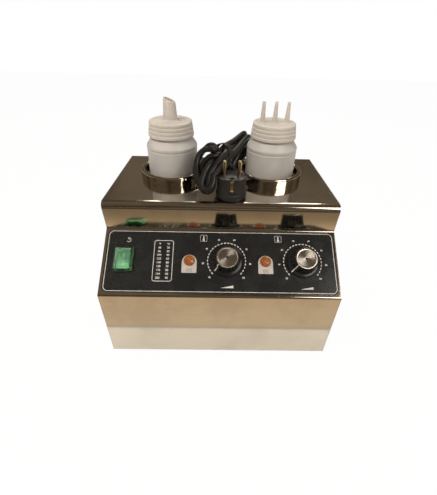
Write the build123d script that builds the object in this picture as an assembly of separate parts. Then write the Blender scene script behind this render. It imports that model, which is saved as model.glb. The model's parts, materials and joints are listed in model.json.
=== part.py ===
from build123d import *

import os
from math import atan2, cos, degrees, hypot, pi, radians, sin, tan

# Two-well countertop warmer for squeeze bottles of hot topping.
# Millimetres. +X is the user's right, +Y the rear, +Z up.
# The origin is on the surface that it stands on, under the centre of the case.

os.makedirs("parts", exist_ok=True)

# ---------------------------------------------------------------- case, folded from sheet
case_width = 300.0
case_depth = 240.0
foot_height = 8.0
skirt_height = 108.5  # underside of the base to the fold below the control panel
panel_run = 72.5  # the sloping control panel, measured along Y
panel_rise = 51.9
nose_overhang = 3.0
nose_height = 37.9
sheet = 1.2
flange_width = 12.0
rear_lip = 14.0
small_bend = 2.5
nose_bend = 8.0
fold_bend = 3.0
fit_gap = 0.3  # between pieces of different bodies, and beside loose covers

# ---------------------------------------------------------------- base, feet and screws
foot_radius = 11.0
foot_top_radius = 12.5
foot_inset = 26.0
foot_screw_radius = 2.0
foot_screw_head = 4.0
foot_screw_head_height = 2.4
nut_across = 7.0
nut_height = 3.2
base_screw_radius = 1.5
base_screw_head = 3.0
base_screw_head_height = 2.0
base_screw_length = 6.0
base_screw_inset = 6.0
vent_length = 46.0
vent_width = 4.0
vent_pitch = 10.0
vent_rows = 6

# ---------------------------------------------------------------- heated wells
well_spacing = 140.0
well_y = 45.0
well_inner_radius = 39.5
well_wall = 1.0
well_depth = 127.0
well_flange_radius = 44.2
well_corner = 5.0
collar_inner_radius = 40.0
collar_outer_radius = 46.5
collar_height = 12.7
collar_round = 2.9
plate_clearance = 0.5
heater_thickness = 2.4
heater_height = 50.0
heater_lift = 10.0
heater_split = 9.0
ear_depth = 12.0
ear_thickness = 1.4
ear_root = 0.6
clamp_screw_radius = 2.0
clamp_screw_head = 3.6
clamp_screw_head_height = 2.4
clamp_screw_reach = 7.4
heater_lead_angle = 24.0
insulation_inner_radius = 44.0
insulation_outer_radius = 53.5
insulation_height = 106.0
insulation_window = 46.0
bulb_radius = 3.0
bulb_length = 46.0
bulb_drop = 14.0
strap_width = 8.0
strap_thickness = 0.8
capillary_radius = 0.9

# ---------------------------------------------------------------- control panel
overlay_width = 293.0
overlay_height = 81.6
overlay_low = 4.6
overlay_corner = 7.0
overlay_thickness = 0.5
control_height = 45.8  # up the slope from the fold to the line of controls
switch_x = -122.3
dial_xs = {"left": 7.5, "right": 104.5}
lamp_offset = -47.4

switch_body_width = 21.6
switch_body_length = 28.6
switch_body_depth = 24.0
bezel_width = 25.0
bezel_length = 32.5
bezel_height = 2.6
rocker_width = 17.6
rocker_half_length = 11.4
rocker_end_height = 5.0
rocker_dip_height = 3.4
rocker_tilt = 10.0
rocker_clearance = 0.3
pivot_radius = 1.2
pivot_stub = 1.0
running_clearance = 0.05
switch_pocket_depth = 13.0
boot_height = 6.2
boot_wall = 0.8
boot_taper = 8.0

lamp_body_radius = 6.0
lamp_body_length = 24.0
lamp_lens_radius = 7.0
lamp_lens_height = 5.0
lamp_clip_radius = 8.6
lamp_clip_thickness = 1.6

thermostat_width = 34.0
thermostat_length = 40.0
thermostat_depth = 18.0
bushing_radius = 5.0
bushing_height = 4.4
bushing_nut_across = 14.0
bushing_nut_height = 2.4
nut_window_radius = 9.0
shaft_radius = 3.0
shaft_flat = 2.2
shaft_inside = 9.0

knob_lift = 0.8  # running gap between the knob's skirt and the overlay
knob_skirt_radius = 20.5
knob_skirt_height = 2.4
knob_root_radius = 16.6
knob_top_radius = 14.4
knob_height = 17.4
knob_recess_radius = 9.6
knob_recess_depth = 5.0
knob_flutes = 20
flute_radius = 1.3
disc_radius = 13.4
disc_thickness = 1.0
shaft_grip = 7.0

# ---------------------------------------------------------------- squeeze bottles and caps
bottle_radius = 34.8
bottle_wall = 1.4
bottle_shoulder = 45.0  # heights above the top plate
bottle_neck_base = 54.0
bottle_neck_top = 72.0
neck_radius = 27.0
neck_wall = 1.8
cap_bottom = 56.5
cap_top = 76.0
cap_base_radius = 31.0
cap_top_radius = 29.0
cap_bore_radius = 27.6
cap_ceiling = 2.0
cap_steps = 4
seal_thickness = 1.0
seal_inner_radius = 22.0
spout_base_radius = 9.35
spout_top_radius = 7.4
spout_wall = 1.6
spout_top = 104.0
spout_cut_drop = 6.0
nozzle_base_radius = 3.5
nozzle_tip_radius = 2.0
nozzle_bore_radius = 1.1
nozzle_top = 101.0
nozzle_spacing = 16.4

# ---------------------------------------------------------------- supply side
gland_height = 50.0
gland_thread_radius = 8.0
gland_across = 22.0
gland_hex_height = 4.0
gland_sleeve_length = 22.0
gland_sleeve_base = 8.5
gland_sleeve_tip = 4.6
gland_inside = 10.0
locknut_height = 4.0
cord_radius = 3.5
wire_radius = 1.2
terminal_length = 34.0
terminal_width = 20.0
terminal_height = 15.0
terminal_y = -70.0
earth_stud_x = 42.0
earth_stud_length = 14.0
earth_washer_radius = 4.5
earth_washer_thickness = 1.0

# ---------------------------------------------------------------- plug and hank on the top plate
plug_x = 12.0
plug_y = -25.0
plug_radius = 18.4
plug_flat = 15.8
plug_back_radius = 19.6
plug_back_height = 9.0
plug_height = 28.5
pin_spacing = 19.0
pin_radius = 2.4
pin_length = 19.0
pin_seat = 6.0
earth_hole_radius = 2.5
earth_hole_y = -10.5
clip_width = 4.2
clip_thickness = 1.0
clip_height = 16.5
guide_width = 5.4
guide_depth = 1.6
relief_length = 26.0
relief_base_radius = 6.0
relief_tip_radius = 4.4
relief_height = 8.5

bundle_radius = 7.0
tie_thickness = 1.4
tie_width = 9.0

# ---------------------------------------------------------------- places worked out from the sizes
front_y = -case_depth / 2
rear_y = case_depth / 2
side_x = case_width / 2
base_z = foot_height
skirt_z = base_z + sheet
fold_z = base_z + skirt_height
brow_z = fold_z + panel_rise
top_z = brow_z + nose_height
floor_z = top_z - well_depth
panel_angle = atan2(panel_rise, panel_run)
well_xs = {"left": -well_spacing / 2, "right": well_spacing / 2}
well_outer_radius = well_inner_radius + well_wall
sides = ("left", "right")
back_panel_y = rear_y - sheet
bulb_reach = well_outer_radius + bulb_radius + running_clearance
bottle_floor_z = floor_z + fit_gap

# The control panel's own frame: X to the right, Y up the slope from the fold, Z off the panel.
panel_frame = Plane(
    origin=(0, front_y, fold_z),
    x_dir=(1, 0, 0),
    z_dir=(0, -sin(panel_angle), cos(panel_angle)),
)


def on_panel(x, up, off=0.0):
    """A place on the sloping panel, off millimetres above its outer face."""
    return panel_frame.location * Pos(x, up, off)


def disc(radius, height, x=0.0, y=0.0, z=0.0):
    """An upright cylinder standing on z."""
    return Pos(x, y, z) * Cylinder(radius, height, align=(Align.CENTER, Align.CENTER, Align.MIN))


def block(width, depth, height, x=0.0, y=0.0, z=0.0):
    """An upright box standing on z."""
    return Pos(x, y, z) * Box(width, depth, height, align=(Align.CENTER, Align.CENTER, Align.MIN))


def turned(points):
    """A solid of revolution about Z from corners (radius, height)."""
    face = make_face(Polyline(*points, close=True))
    return revolve(Plane.XZ * face, Axis.Z)


def hexagon(across, height, z=0.0):
    """A hexagonal prism standing on z."""
    return Pos(0, 0, z) * extrude(RegularPolygon(across / 2, 6, major_radius=False), height)


# ---------------------------------------------------------------- case
def skin_corners():
    """Outer corners of the folded case in the YZ plane, from the front flange to the rear lip."""
    return [
        (front_y + flange_width, skirt_z),
        (front_y, skirt_z),
        (front_y, fold_z),
        (front_y + panel_run, brow_z),
        (front_y + panel_run - nose_overhang, top_z),
        (rear_y, top_z),
        (rear_y, top_z - rear_lip),
    ]


def inner_corners(corners):
    """The same corners moved inwards by the thickness of the sheet."""
    directions = []
    for start, end in zip(corners, corners[1:]):
        run, rise = end[0] - start[0], end[1] - start[1]
        length = hypot(run, rise)
        directions.append((run / length, rise / length))
    moved = []
    for index, corner in enumerate(corners):
        before = directions[max(index - 1, 0)]
        after = directions[min(index, len(directions) - 1)]
        normal = (before[1] + after[1], -before[0] - after[0])
        scale = sheet / (1 + before[0] * after[0] + before[1] * after[1])
        moved.append((corner[0] + normal[0] * scale, corner[1] + normal[1] * scale))
    return moved


def well_cut(radius):
    """Cylinders through the top plate at both wells."""
    height = 4 * sheet
    return [disc(radius, height, x, well_y, top_z - 3 * sheet) for x in well_xs.values()]


def housing_wrap():
    """Front skirt, sloping panel, nose and top plate, bent from one sheet."""
    outer_bends = [small_bend, fold_bend, fold_bend, nose_bend, small_bend]
    turns_in = [1, 1, -1, 1, 1]
    inner_bends = [bend - turn * sheet for bend, turn in zip(outer_bends, turns_in)]
    outer = FilletPolyline(*skin_corners(), radius=outer_bends)
    inner = FilletPolyline(*inner_corners(skin_corners()), radius=inner_bends)
    ends = [Line(outer @ 0, inner @ 0), Line(outer @ 1, inner @ 1)]
    strip = make_face(Curve() + [outer, inner] + ends)
    wrap = extrude(Plane.YZ * strip, side_x - sheet, both=True)
    wrap -= well_cut(well_outer_radius + plate_clearance)
    through = 3 * sheet
    cut = on_panel(switch_x, control_height, -through) * block(
        switch_body_width + fit_gap, switch_body_length + fit_gap, 2 * through
    )
    wrap -= cut
    for x in dial_xs.values():
        wrap -= on_panel(x, control_height, -through) * disc(bushing_radius + fit_gap, 2 * through)
        wrap -= on_panel(x + lamp_offset, control_height, -through) * disc(
            lamp_body_radius + fit_gap, 2 * through
        )
    for x, y in base_screw_places():
        wrap -= disc(base_screw_radius, 4 * sheet, x, y, base_z)
    return wrap


def side_panel(side):
    """A flat end of the case with the same outline as the bent sheet, and a flange at its foot."""
    turn = -1 if side == "left" else 1
    corners = skin_corners()
    outline = [(front_y, skirt_z)] + corners[2:6] + [(rear_y, skirt_z)]
    bends = [fold_bend, fold_bend, nose_bend]
    line = FilletPolyline(*outline, radius=[*bends, small_bend])
    face = make_face(Curve() + [line, Line(line @ 0, line @ 1)])
    plate = extrude(Plane.YZ * face, sheet)
    plate = Pos(side_x - sheet if turn > 0 else -side_x, 0, 0) * plate
    length = case_depth - 2 * flange_width - 4 * sheet
    foot = block(flange_width, length, sheet, turn * (side_x - sheet - flange_width / 2), 0, skirt_z)
    panel = plate + foot
    for x, y in base_screw_places():
        panel -= disc(base_screw_radius, 4 * sheet, x, y, base_z)
    return panel


def back_panel():
    """The rear wall inside the top's lip, with a flange at its foot and the gland's hole."""
    width = case_width - 2 * sheet
    height = top_z - small_bend - skirt_z
    wall = block(width, sheet, height, 0, back_panel_y - sheet / 2, skirt_z)
    foot_y = back_panel_y - sheet - (flange_width - sheet) / 2
    wall += block(width - 2 * sheet, flange_width - sheet, sheet, 0, foot_y, skirt_z)
    hole = Pos(0, back_panel_y, gland_height) * Rot(90, 0, 0) * Cylinder(gland_thread_radius, 6 * sheet)
    wall -= hole
    for x, y in base_screw_places():
        wall -= disc(base_screw_radius, 4 * sheet, x, y, base_z)
    return wall


def base_screw_places():
    """Screws that hold the base to the flanges of the skirt, the sides and the back."""
    along_x = side_x * 0.66
    along_y = case_depth * 0.25
    front = front_y + base_screw_inset
    rear = back_panel_y - base_screw_inset
    side = side_x - sheet - base_screw_inset
    corners = [(x, y) for x in (-along_x, along_x) for y in (front, rear)]
    return corners + [(x, y) for x in (-side, side) for y in (-along_y, along_y)]


def foot_places():
    """The four feet, under the base."""
    x = side_x - foot_inset
    y = rear_y - foot_inset
    return [(-x, -y), (x, -y), (-x, y), (x, y)]


def base_plate():
    """The base: a flat sheet with two groups of vent slots under the wells."""
    plate = block(case_width - 2 * fit_gap, case_depth - 2 * sheet, sheet, 0, 0, base_z)
    slot = extrude(SlotOverall(vent_length, vent_width), 3 * sheet)
    rise = vent_pitch * (vent_rows - 1) / 2
    for x in well_xs.values():
        for row in range(vent_rows):
            plate -= Pos(x, well_y - rise + row * vent_pitch, base_z - sheet) * slot
    for x, y in base_screw_places():
        plate -= disc(base_screw_radius + running_clearance, 3 * sheet, x, y, base_z - sheet)
    for x, y in foot_places():
        plate -= disc(foot_screw_radius + running_clearance, 3 * sheet, x, y, base_z - sheet)
    plate -= disc(foot_screw_radius, 3 * sheet, earth_stud_x, terminal_y, base_z - sheet)
    return plate


def rubber_feet():
    """Four tapered rubber feet, each with a sunk seat for its screw."""
    seat_z = foot_height / 2
    profile = [
        (foot_screw_radius + running_clearance, seat_z),
        (foot_screw_head + running_clearance, seat_z),
        (foot_screw_head + running_clearance, 0),
        (foot_radius - 1, 0),
        (foot_radius, 1),
        (foot_top_radius, foot_height),
        (foot_screw_radius + running_clearance, foot_height),
    ]
    foot = turned(profile)
    return Compound([Pos(x, y, 0) * foot for x, y in foot_places()])


def pan_screw(radius, head_radius, head_height, length):
    """A screw whose shank points up from z 0, with its domed head below."""
    dome = head_height * 0.45
    profile = [
        (0, -head_height),
        (head_radius * 0.6, -head_height),
        (head_radius, -head_height + dome),
        (head_radius, 0),
        (radius, 0),
        (radius, length),
        (0, length),
    ]
    return turned(profile)


def foot_screws():
    """One screw and nut for each foot."""
    seat_z = foot_height / 2
    reach = foot_height - seat_z + sheet + nut_height + 1
    screw = Pos(0, 0, seat_z) * pan_screw(
        foot_screw_radius, foot_screw_head, foot_screw_head_height, reach
    )
    screw += hexagon(nut_across, nut_height, base_z + sheet)
    return Compound([Pos(x, y, 0) * screw for x, y in foot_places()])


def base_screws():
    """Pan-head screws up through the base into the flanges."""
    screw = pan_screw(
        base_screw_radius, base_screw_head, base_screw_head_height, base_screw_length
    )
    screw = Pos(0, 0, base_z) * screw
    return Compound([Pos(x, y, 0) * screw for x, y in base_screw_places()])


# ---------------------------------------------------------------- wells
def collar(side):
    """A polished ring on the top plate that clamps the well's flange."""
    flange_room = well_flange_radius + running_clearance
    section = make_face(
        Polyline(
            (collar_inner_radius, well_wall),
            (flange_room, well_wall),
            (flange_room, 0),
            (collar_outer_radius, 0),
            (collar_outer_radius, collar_height),
            (collar_inner_radius, collar_height),
            close=True,
        )
    )
    crown = section.vertices().group_by(Axis.Y)[-1]
    section = fillet(crown, collar_round)
    ring = revolve(Plane.XZ * section, Axis.Z)
    return Pos(well_xs[side], well_y, top_z) * ring


def well(side):
    """A deep-drawn pot that hangs by its flange from the top plate."""
    outer = well_outer_radius
    inner = well_inner_radius
    pot = disc(outer, well_depth + well_wall, 0, 0, -well_depth - well_wall)
    pot = fillet(pot.edges().group_by(Axis.Z)[0], well_corner)
    pot += disc(well_flange_radius, well_wall)
    room = disc(inner, well_depth + 2 * well_wall, 0, 0, -well_depth)
    room = fillet(room.edges().group_by(Axis.Z)[0], well_corner - well_wall)
    return Pos(well_xs[side], well_y, top_z) * (pot - room)


def band_heater(side):
    """A split band clamped round the lower part of the well, with two ears at its front."""
    inner = well_outer_radius + running_clearance
    outer = inner + heater_thickness
    band = disc(outer, heater_height) - disc(inner, heater_height)
    band -= block(heater_split, outer, heater_height, 0, -outer)
    ear_x = heater_split / 2 + ear_thickness / 2
    for turn in (-1, 1):
        ear_y = -inner - (ear_depth + ear_root) / 2
        band += block(ear_thickness, ear_depth - ear_root, heater_height, turn * ear_x, ear_y)
        lead_place = Rot(0, 0, turn * heater_lead_angle) * Pos(0, -outer - 2, heater_height / 2)
        band += lead_place * Rot(90, 0, 0) * Cylinder(2.2, 5)
    for height in (heater_height * 0.25, heater_height * 0.75):
        hole = Cylinder(clamp_screw_radius, 3 * heater_split)
        band -= Pos(0, -inner - clamp_screw_reach, height) * Rot(0, 90, 0) * hole
    return Pos(well_xs[side], well_y, floor_z + heater_lift) * band


def heater_screws():
    """Two clamp screws with nuts through the ears of each band."""
    inner = well_outer_radius + running_clearance
    reach = heater_split + 2 * ear_thickness
    screw = pan_screw(
        clamp_screw_radius, clamp_screw_head, clamp_screw_head_height, reach + nut_height + 1.3
    )
    screw += hexagon(nut_across, nut_height, reach)
    screw = Rot(0, 90, 0) * Pos(0, 0, -reach / 2) * screw
    made = []
    for x in well_xs.values():
        for share in (0.25, 0.75):
            z = floor_z + heater_lift + heater_height * share
            made.append(Pos(x, well_y - inner - clamp_screw_reach, z) * screw)
    return Compound(made)


def insulation(side):
    """A thick felt sleeve round the band, open at the front for the ears and the sensor."""
    sleeve = disc(insulation_outer_radius, insulation_height)
    sleeve -= disc(insulation_inner_radius, insulation_height)
    sleeve -= block(
        insulation_window, insulation_outer_radius, insulation_height, 0, -insulation_outer_radius
    )
    return Pos(well_xs[side], well_y, floor_z + fit_gap) * sleeve


def bulb_strap(side):
    """A spring strap that holds the sensor bulb against the well."""
    circles = Circle(well_outer_radius + running_clearance / 2)
    bulb = Pos(0, -bulb_reach) * Circle(bulb_radius)
    inside = make_hull([*circles.edges(), *bulb.edges()])
    strap = offset(inside, strap_thickness) - inside
    z = top_z - bulb_drop - bulb_length / 2 - strap_width / 2
    return Pos(well_xs[side], well_y, z) * extrude(strap, strap_width)


def capillary(side):
    """The thermostat's sensor bulb on the well, and its fine tube to the thermostat's back."""
    bulb_top = top_z - bulb_drop
    bulb_low = bulb_top - bulb_length
    x = well_xs[side]
    y = well_y - bulb_reach
    bulb = disc(bulb_radius, bulb_length, x, y, bulb_low)
    bulb = fillet(bulb.edges().filter_by(GeomType.CIRCLE), 1.5)
    back = -sheet - thermostat_depth
    target = on_panel(dial_xs[side], control_height - 10, back).position
    approach = on_panel(dial_xs[side], control_height - 10, back - 20).position
    drop = 8.0
    middle = (x + target.X) / 2
    route = [
        (x, y, bulb_low),
        (x, y, bulb_low - drop),
        (x, y - 24, bulb_low - drop - 4),
        (middle, approach.Y + 8, approach.Z - 16),
        (approach.X, approach.Y, approach.Z),
        (target.X, target.Y, target.Z),
    ]
    line = FilletPolyline(*route, radius=6.0)
    tube = sweep(Plane(origin=line @ 0, z_dir=line % 0) * Circle(capillary_radius), path=line)
    return bulb + tube


# ---------------------------------------------------------------- thermostats and knobs
def thermostat_body(side):
    """The switch part of the thermostat behind the panel, with its threaded bushing and blades."""
    case = extrude(RectangleRounded(thermostat_width, thermostat_length, 3), thermostat_depth - 4)
    case += Pos(0, 0, thermostat_depth - 4) * extrude(
        RectangleRounded(thermostat_width - 8, thermostat_length - 8, 3), 4
    )
    for x in (-9, 0, 9):
        case += block(6.3, 0.8, 8, x, -thermostat_length / 2 + 6, -8)
    case += disc(bushing_radius, sheet + bushing_height, 0, 0, thermostat_depth)
    bore = shaft_inside + sheet + bushing_height + running_clearance
    case -= disc(
        shaft_radius + running_clearance, bore, 0, 0, thermostat_depth + sheet + bushing_height - bore
    )
    return on_panel(dial_xs[side], control_height, -sheet - thermostat_depth) * case


def thermostat_nuts():
    """The hexagon nut on each thermostat's bushing, hidden under its knob."""
    nut = hexagon(bushing_nut_across, bushing_nut_height) - disc(bushing_radius, bushing_nut_height)
    return Compound([on_panel(x, control_height) * nut for x in dial_xs.values()])


def knob_bottom():
    return overlay_thickness + knob_lift


def thermostat_shaft(side):
    """The D-shaped spindle between the thermostat and its knob."""
    length = shaft_inside + knob_bottom() + knob_recess_depth + shaft_grip
    round_part = disc(shaft_radius, length)
    d_length = shaft_grip
    round_part -= block(
        2 * shaft_radius, shaft_radius, d_length, 0, shaft_flat + shaft_radius / 2, length - d_length
    )
    return on_panel(dial_xs[side], control_height, -shaft_inside) * round_part


def knob(side):
    """A skirted, fluted control knob, hollow underneath, with a bore for the spindle."""
    body = turned(
        [
            (0, 0),
            (knob_skirt_radius - 0.6, 0),
            (knob_skirt_radius, 0.6),
            (knob_skirt_radius, knob_skirt_height - 0.9),
            (knob_skirt_radius - 1.2, knob_skirt_height),
            (knob_root_radius, knob_skirt_height + 0.6),
            (knob_top_radius, knob_height - 0.8),
            (knob_top_radius - 0.6, knob_height),
            (0, knob_height),
        ]
    )
    lean = degrees(atan2(knob_root_radius - knob_top_radius, knob_height - knob_skirt_height))
    flute_length = 1.3 * knob_height
    for index in range(knob_flutes):
        around = Rot(0, 0, 360 / knob_flutes * (index + 0.5))
        groove = Pos(knob_root_radius + 0.55, 0, knob_skirt_height + 0.7) * Rot(0, -lean, 0)
        body -= around * groove * disc(flute_radius, flute_length)
    body -= disc(knob_recess_radius, knob_recess_depth)
    bore = disc(shaft_radius, shaft_grip, 0, 0, knob_recess_depth)
    bore -= block(
        2 * shaft_radius, shaft_radius, shaft_grip, 0, shaft_flat + shaft_radius / 2, knob_recess_depth
    )
    body -= bore
    body -= disc(disc_radius, disc_thickness / 2, 0, 0, knob_height - disc_thickness / 2)
    return on_panel(dial_xs[side], control_height, knob_bottom()) * body


def knob_disc(side):
    """The spun aluminium disc set into the top of the knob."""
    seat = knob_height - disc_thickness / 2
    face = turned(
        [
            (0, seat),
            (disc_radius, seat),
            (disc_radius, seat + disc_thickness * 0.7),
            (disc_radius - 0.5, seat + disc_thickness),
            (disc_radius - 1.6, seat + disc_thickness),
            (disc_radius - 3.0, seat + disc_thickness * 0.75),
            (0, seat + disc_thickness * 0.6),
        ]
    )
    return on_panel(dial_xs[side], control_height, knob_bottom()) * face


# ---------------------------------------------------------------- overlay, switch and lamps
def control_overlay():
    """The printed sheet on the sloping panel, with windows for the controls."""
    sheet_face = RectangleRounded(overlay_width, overlay_height, overlay_corner)
    plate = Pos(0, overlay_low + overlay_height / 2, 0) * extrude(sheet_face, overlay_thickness)
    deep = 2 * overlay_thickness
    plate -= block(
        switch_body_width + fit_gap, switch_body_length + fit_gap, deep, switch_x, control_height
    )
    for x in dial_xs.values():
        plate -= disc(nut_window_radius, deep, x, control_height)
        plate -= disc(lamp_body_radius + fit_gap, deep, x + lamp_offset, control_height)
    return panel_frame.location * plate


def pocket_length():
    """Length of the opening that the rocker swings in."""
    reach = hypot(rocker_half_length, rocker_end_height)
    lowest = atan2(rocker_end_height, rocker_half_length) - radians(rocker_tilt)
    return 2 * (reach * cos(lowest) + rocker_clearance)


def pivot_height():
    """The rocker's hinge line above the panel's outer face."""
    return -1.0


def switch_housing():
    """The switch's black frame and body, with an open pocket for the rocker."""
    body = block(switch_body_width, switch_body_length, switch_body_depth, 0, 0, -switch_body_depth)
    body += block(switch_body_width, switch_body_length, overlay_thickness)
    rim = extrude(RectangleRounded(bezel_width, bezel_length, 2.5), bezel_height)
    rim = chamfer(rim.edges().group_by(Axis.Z)[-1], 0.6)
    body += Pos(0, 0, overlay_thickness) * rim
    for x, y in ((-5, 7), (5, 7), (-5, -7), (5, -7)):
        body += block(0.8, 6.3, 8, x, y, -switch_body_depth - 8)
    top = overlay_thickness + bezel_height
    width = rocker_width + 2 * rocker_clearance
    body -= block(width, pocket_length(), top + switch_pocket_depth, 0, 0, -switch_pocket_depth)
    pivot = Cylinder(pivot_radius + running_clearance, width + 2 * pivot_stub)
    body -= Pos(0, 0, pivot_height()) * Rot(0, 90, 0) * pivot
    return on_panel(switch_x, control_height) * body


def power_rocker():
    """The illuminated rocker, resting with its lower end pressed."""
    crown = ThreePointArc(
        (-rocker_half_length, rocker_end_height),
        (0, rocker_dip_height),
        (rocker_half_length, rocker_end_height),
    )
    below = Polyline(
        (rocker_half_length, rocker_end_height),
        (rocker_half_length - 1.4, -3),
        (3, -6),
        (-3, -6),
        (1.4 - rocker_half_length, -3),
        (-rocker_half_length, rocker_end_height),
    )
    face = make_face(Curve() + [crown, below])
    rocker = extrude(Plane.YZ * face, rocker_width / 2, both=True)
    stubs = rocker_width + 2 * (rocker_clearance + pivot_stub) - 0.2
    rocker += Rot(0, 90, 0) * Cylinder(pivot_radius, stubs)
    return on_panel(switch_x, control_height, pivot_height()) * Rot(rocker_tilt, 0, 0) * rocker


def switch_boot():
    """The clear splash cover over the rocker, seated on the switch's frame."""
    width = bezel_width - 1.4
    length = bezel_length - 1.4
    shell = extrude(RectangleRounded(width, length, 2.4), boot_height, taper=boot_taper)
    shell = fillet(shell.edges().group_by(Axis.Z)[-1], 1.6)
    room = extrude(
        RectangleRounded(width - 2 * boot_wall, length - 2 * boot_wall, 1.6),
        boot_height - boot_wall,
        taper=boot_taper,
    )
    return on_panel(switch_x, control_height, overlay_thickness + bezel_height) * (shell - room)


def lamp_body(side):
    """The neon indicator's barrel through the panel, its push-on clip and its blades."""
    barrel = disc(lamp_body_radius, lamp_body_length, 0, 0, -lamp_body_length + overlay_thickness)
    clip_z = -sheet - lamp_clip_thickness
    barrel += disc(lamp_clip_radius, lamp_clip_thickness, 0, 0, clip_z)
    for y in (-3, 3):
        barrel += block(4.8, 0.8, 7, 0, y, overlay_thickness - lamp_body_length - 7)
    return on_panel(dial_xs[side] + lamp_offset, control_height) * barrel


def lamp_lens(side):
    """The amber lens with a faceted crown."""
    facets = 10
    rim = disc(lamp_lens_radius, 1.2)
    crown = extrude(RegularPolygon(lamp_lens_radius - 0.7, facets), lamp_lens_height - 1.2, taper=24)
    lens = rim + Pos(0, 0, 1.2) * crown
    return on_panel(dial_xs[side] + lamp_offset, control_height, overlay_thickness) * lens


# ---------------------------------------------------------------- bottles and caps
def bottle(side):
    """A squeeze bottle: a straight body, a rounded shoulder and an open neck."""
    low = bottle_floor_z - top_z
    outer = FilletPolyline(
        (0, low + 3),
        (bottle_radius - 9, low),
        (bottle_radius, low),
        (bottle_radius, bottle_shoulder),
        (neck_radius + 1.5, bottle_neck_base),
        (neck_radius, bottle_neck_base + 1.5),
        (neck_radius, bottle_neck_top),
        radius=[6, 4, 5, 1, 0.5],
    )
    inner_radius = bottle_radius - bottle_wall
    inner = FilletPolyline(
        (neck_radius - neck_wall, bottle_neck_top),
        (neck_radius - neck_wall, bottle_neck_base),
        (inner_radius, bottle_shoulder - 1),
        (inner_radius, low + bottle_wall),
        (inner_radius - 8, low + bottle_wall),
        (0, low + 3 + bottle_wall),
        radius=[1, 4, 3, 6],
    )
    links = [Line(outer @ 1, inner @ 0), Line(inner @ 1, outer @ 0)]
    section = make_face(Curve() + [outer, inner] + links)
    body = revolve(Plane.XZ * section, Axis.Z)
    return Pos(well_xs[side], well_y, top_z) * body


def cap_shell():
    """The ribbed cap common to both bottles, above the top plate, before its outlets."""
    ceiling = cap_top - cap_ceiling
    step = (cap_top - cap_bottom) / cap_steps
    shrink = (cap_base_radius - cap_top_radius) / (cap_steps - 1)
    points = [(0, ceiling), (cap_bore_radius, ceiling), (cap_bore_radius, cap_bottom)]
    for index in range(cap_steps):
        radius = cap_base_radius - index * shrink
        low = cap_bottom + index * step
        points += [(radius - 0.3, low), (radius, low + 0.8), (radius - 0.1, low + step - 0.9)]
    points += [
        (cap_top_radius - 1.6, cap_top),
        (cap_top_radius - 3.6, cap_top),
        (cap_top_radius - 5.0, cap_top - 0.7),
        (0, cap_top - 0.7),
    ]
    return turned(points)


def outlet(base_radius, tip_radius, bore_base, bore_tip, top):
    """A hollow, tapered outlet from inside the cap's top, with a flared root."""
    ceiling = cap_top - cap_ceiling
    deck = cap_top - 0.7
    flare = base_radius * 0.3
    tube = turned(
        [
            (0, ceiling),
            (base_radius + flare, ceiling),
            (base_radius + flare, deck),
            (base_radius + flare * 0.3, deck + flare * 0.4),
            (base_radius, deck + flare * 1.4),
            (tip_radius, top),
            (0, top),
        ]
    )
    bore = turned([(0, ceiling - 1), (bore_base, ceiling - 1), (bore_tip, top + 1), (0, top + 1)])
    return tube, bore


def cap_left():
    """The cap with one wide spout, cut off at a slant."""
    tube, bore = outlet(
        spout_base_radius,
        spout_top_radius,
        spout_base_radius - spout_wall,
        spout_top_radius - spout_wall,
        spout_top,
    )
    slant = degrees(atan2(spout_cut_drop, 2 * spout_top_radius))
    wedge = Pos(-spout_top_radius, 0, spout_top) * Rot(0, slant, 0)
    wedge *= block(6 * spout_top_radius, 4 * spout_top_radius, 2 * spout_cut_drop + 4, spout_top_radius)
    cap = cap_shell() + tube - bore - wedge
    return Pos(well_xs["left"], well_y, top_z) * cap


def cap_right():
    """The cap with three fine nozzles in a row."""
    cap = cap_shell()
    tube, bore = outlet(
        nozzle_base_radius,
        nozzle_tip_radius,
        nozzle_bore_radius * 1.8,
        nozzle_bore_radius,
        nozzle_top,
    )
    for place in (-1, 0, 1):
        cap += Pos(place * nozzle_spacing, 0, 0) * tube
    for place in (-1, 0, 1):
        cap -= Pos(place * nozzle_spacing, 0, 0) * bore
    return Pos(well_xs["right"], well_y, top_z) * cap


def cap_seal(side):
    """The flat sealing ring between a bottle's rim and its cap."""
    z = bottle_neck_top + (cap_top - cap_ceiling - bottle_neck_top - seal_thickness) / 2
    ring = disc(cap_bore_radius - fit_gap, seal_thickness) - disc(seal_inner_radius, seal_thickness)
    return Pos(well_xs[side], well_y, top_z + z) * ring


# ---------------------------------------------------------------- supply side
def along_rear(shape, y):
    """Turn a piece modelled along +Z so that it points out of the rear at the gland."""
    return Pos(0, y, gland_height) * Rot(-90, 0, 0) * shape


def cable_gland():
    """The lead's gland: hexagon, thread through the rear wall and a tapered sleeve."""
    body = hexagon(gland_across, gland_hex_height)
    body += turned(
        [
            (0, gland_hex_height),
            (gland_sleeve_base, gland_hex_height),
            (gland_sleeve_base, gland_hex_height + 4),
            (gland_sleeve_base - 2.2, gland_hex_height + 6),
            (gland_sleeve_tip, gland_hex_height + gland_sleeve_length),
            (0, gland_hex_height + gland_sleeve_length),
        ]
    )
    body += disc(gland_thread_radius, sheet + gland_inside, 0, 0, -sheet - gland_inside)
    return along_rear(body, back_panel_y)


def gland_locknut():
    """The hexagon nut that holds the gland from inside."""
    nut = hexagon(gland_across, locknut_height, -sheet - locknut_height)
    nut -= disc(gland_thread_radius, 3 * locknut_height, 0, 0, -2 * locknut_height)
    return along_rear(nut, back_panel_y)


def terminal_block():
    """A three-way terminal block on the base."""
    z = base_z + sheet
    body = block(terminal_length, terminal_width, terminal_height, 0, 0, 0)
    body = fillet(body.edges().filter_by(Axis.Z), 1.5)
    for x in (-10, 0, 10):
        body -= disc(3.2, 5, x, 0, terminal_height - 4)
        body -= Pos(x, terminal_width / 2, terminal_height / 2) * Rot(90, 0, 0) * Cylinder(2.2, 10)
    return Pos(0, terminal_y, z) * body


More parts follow.
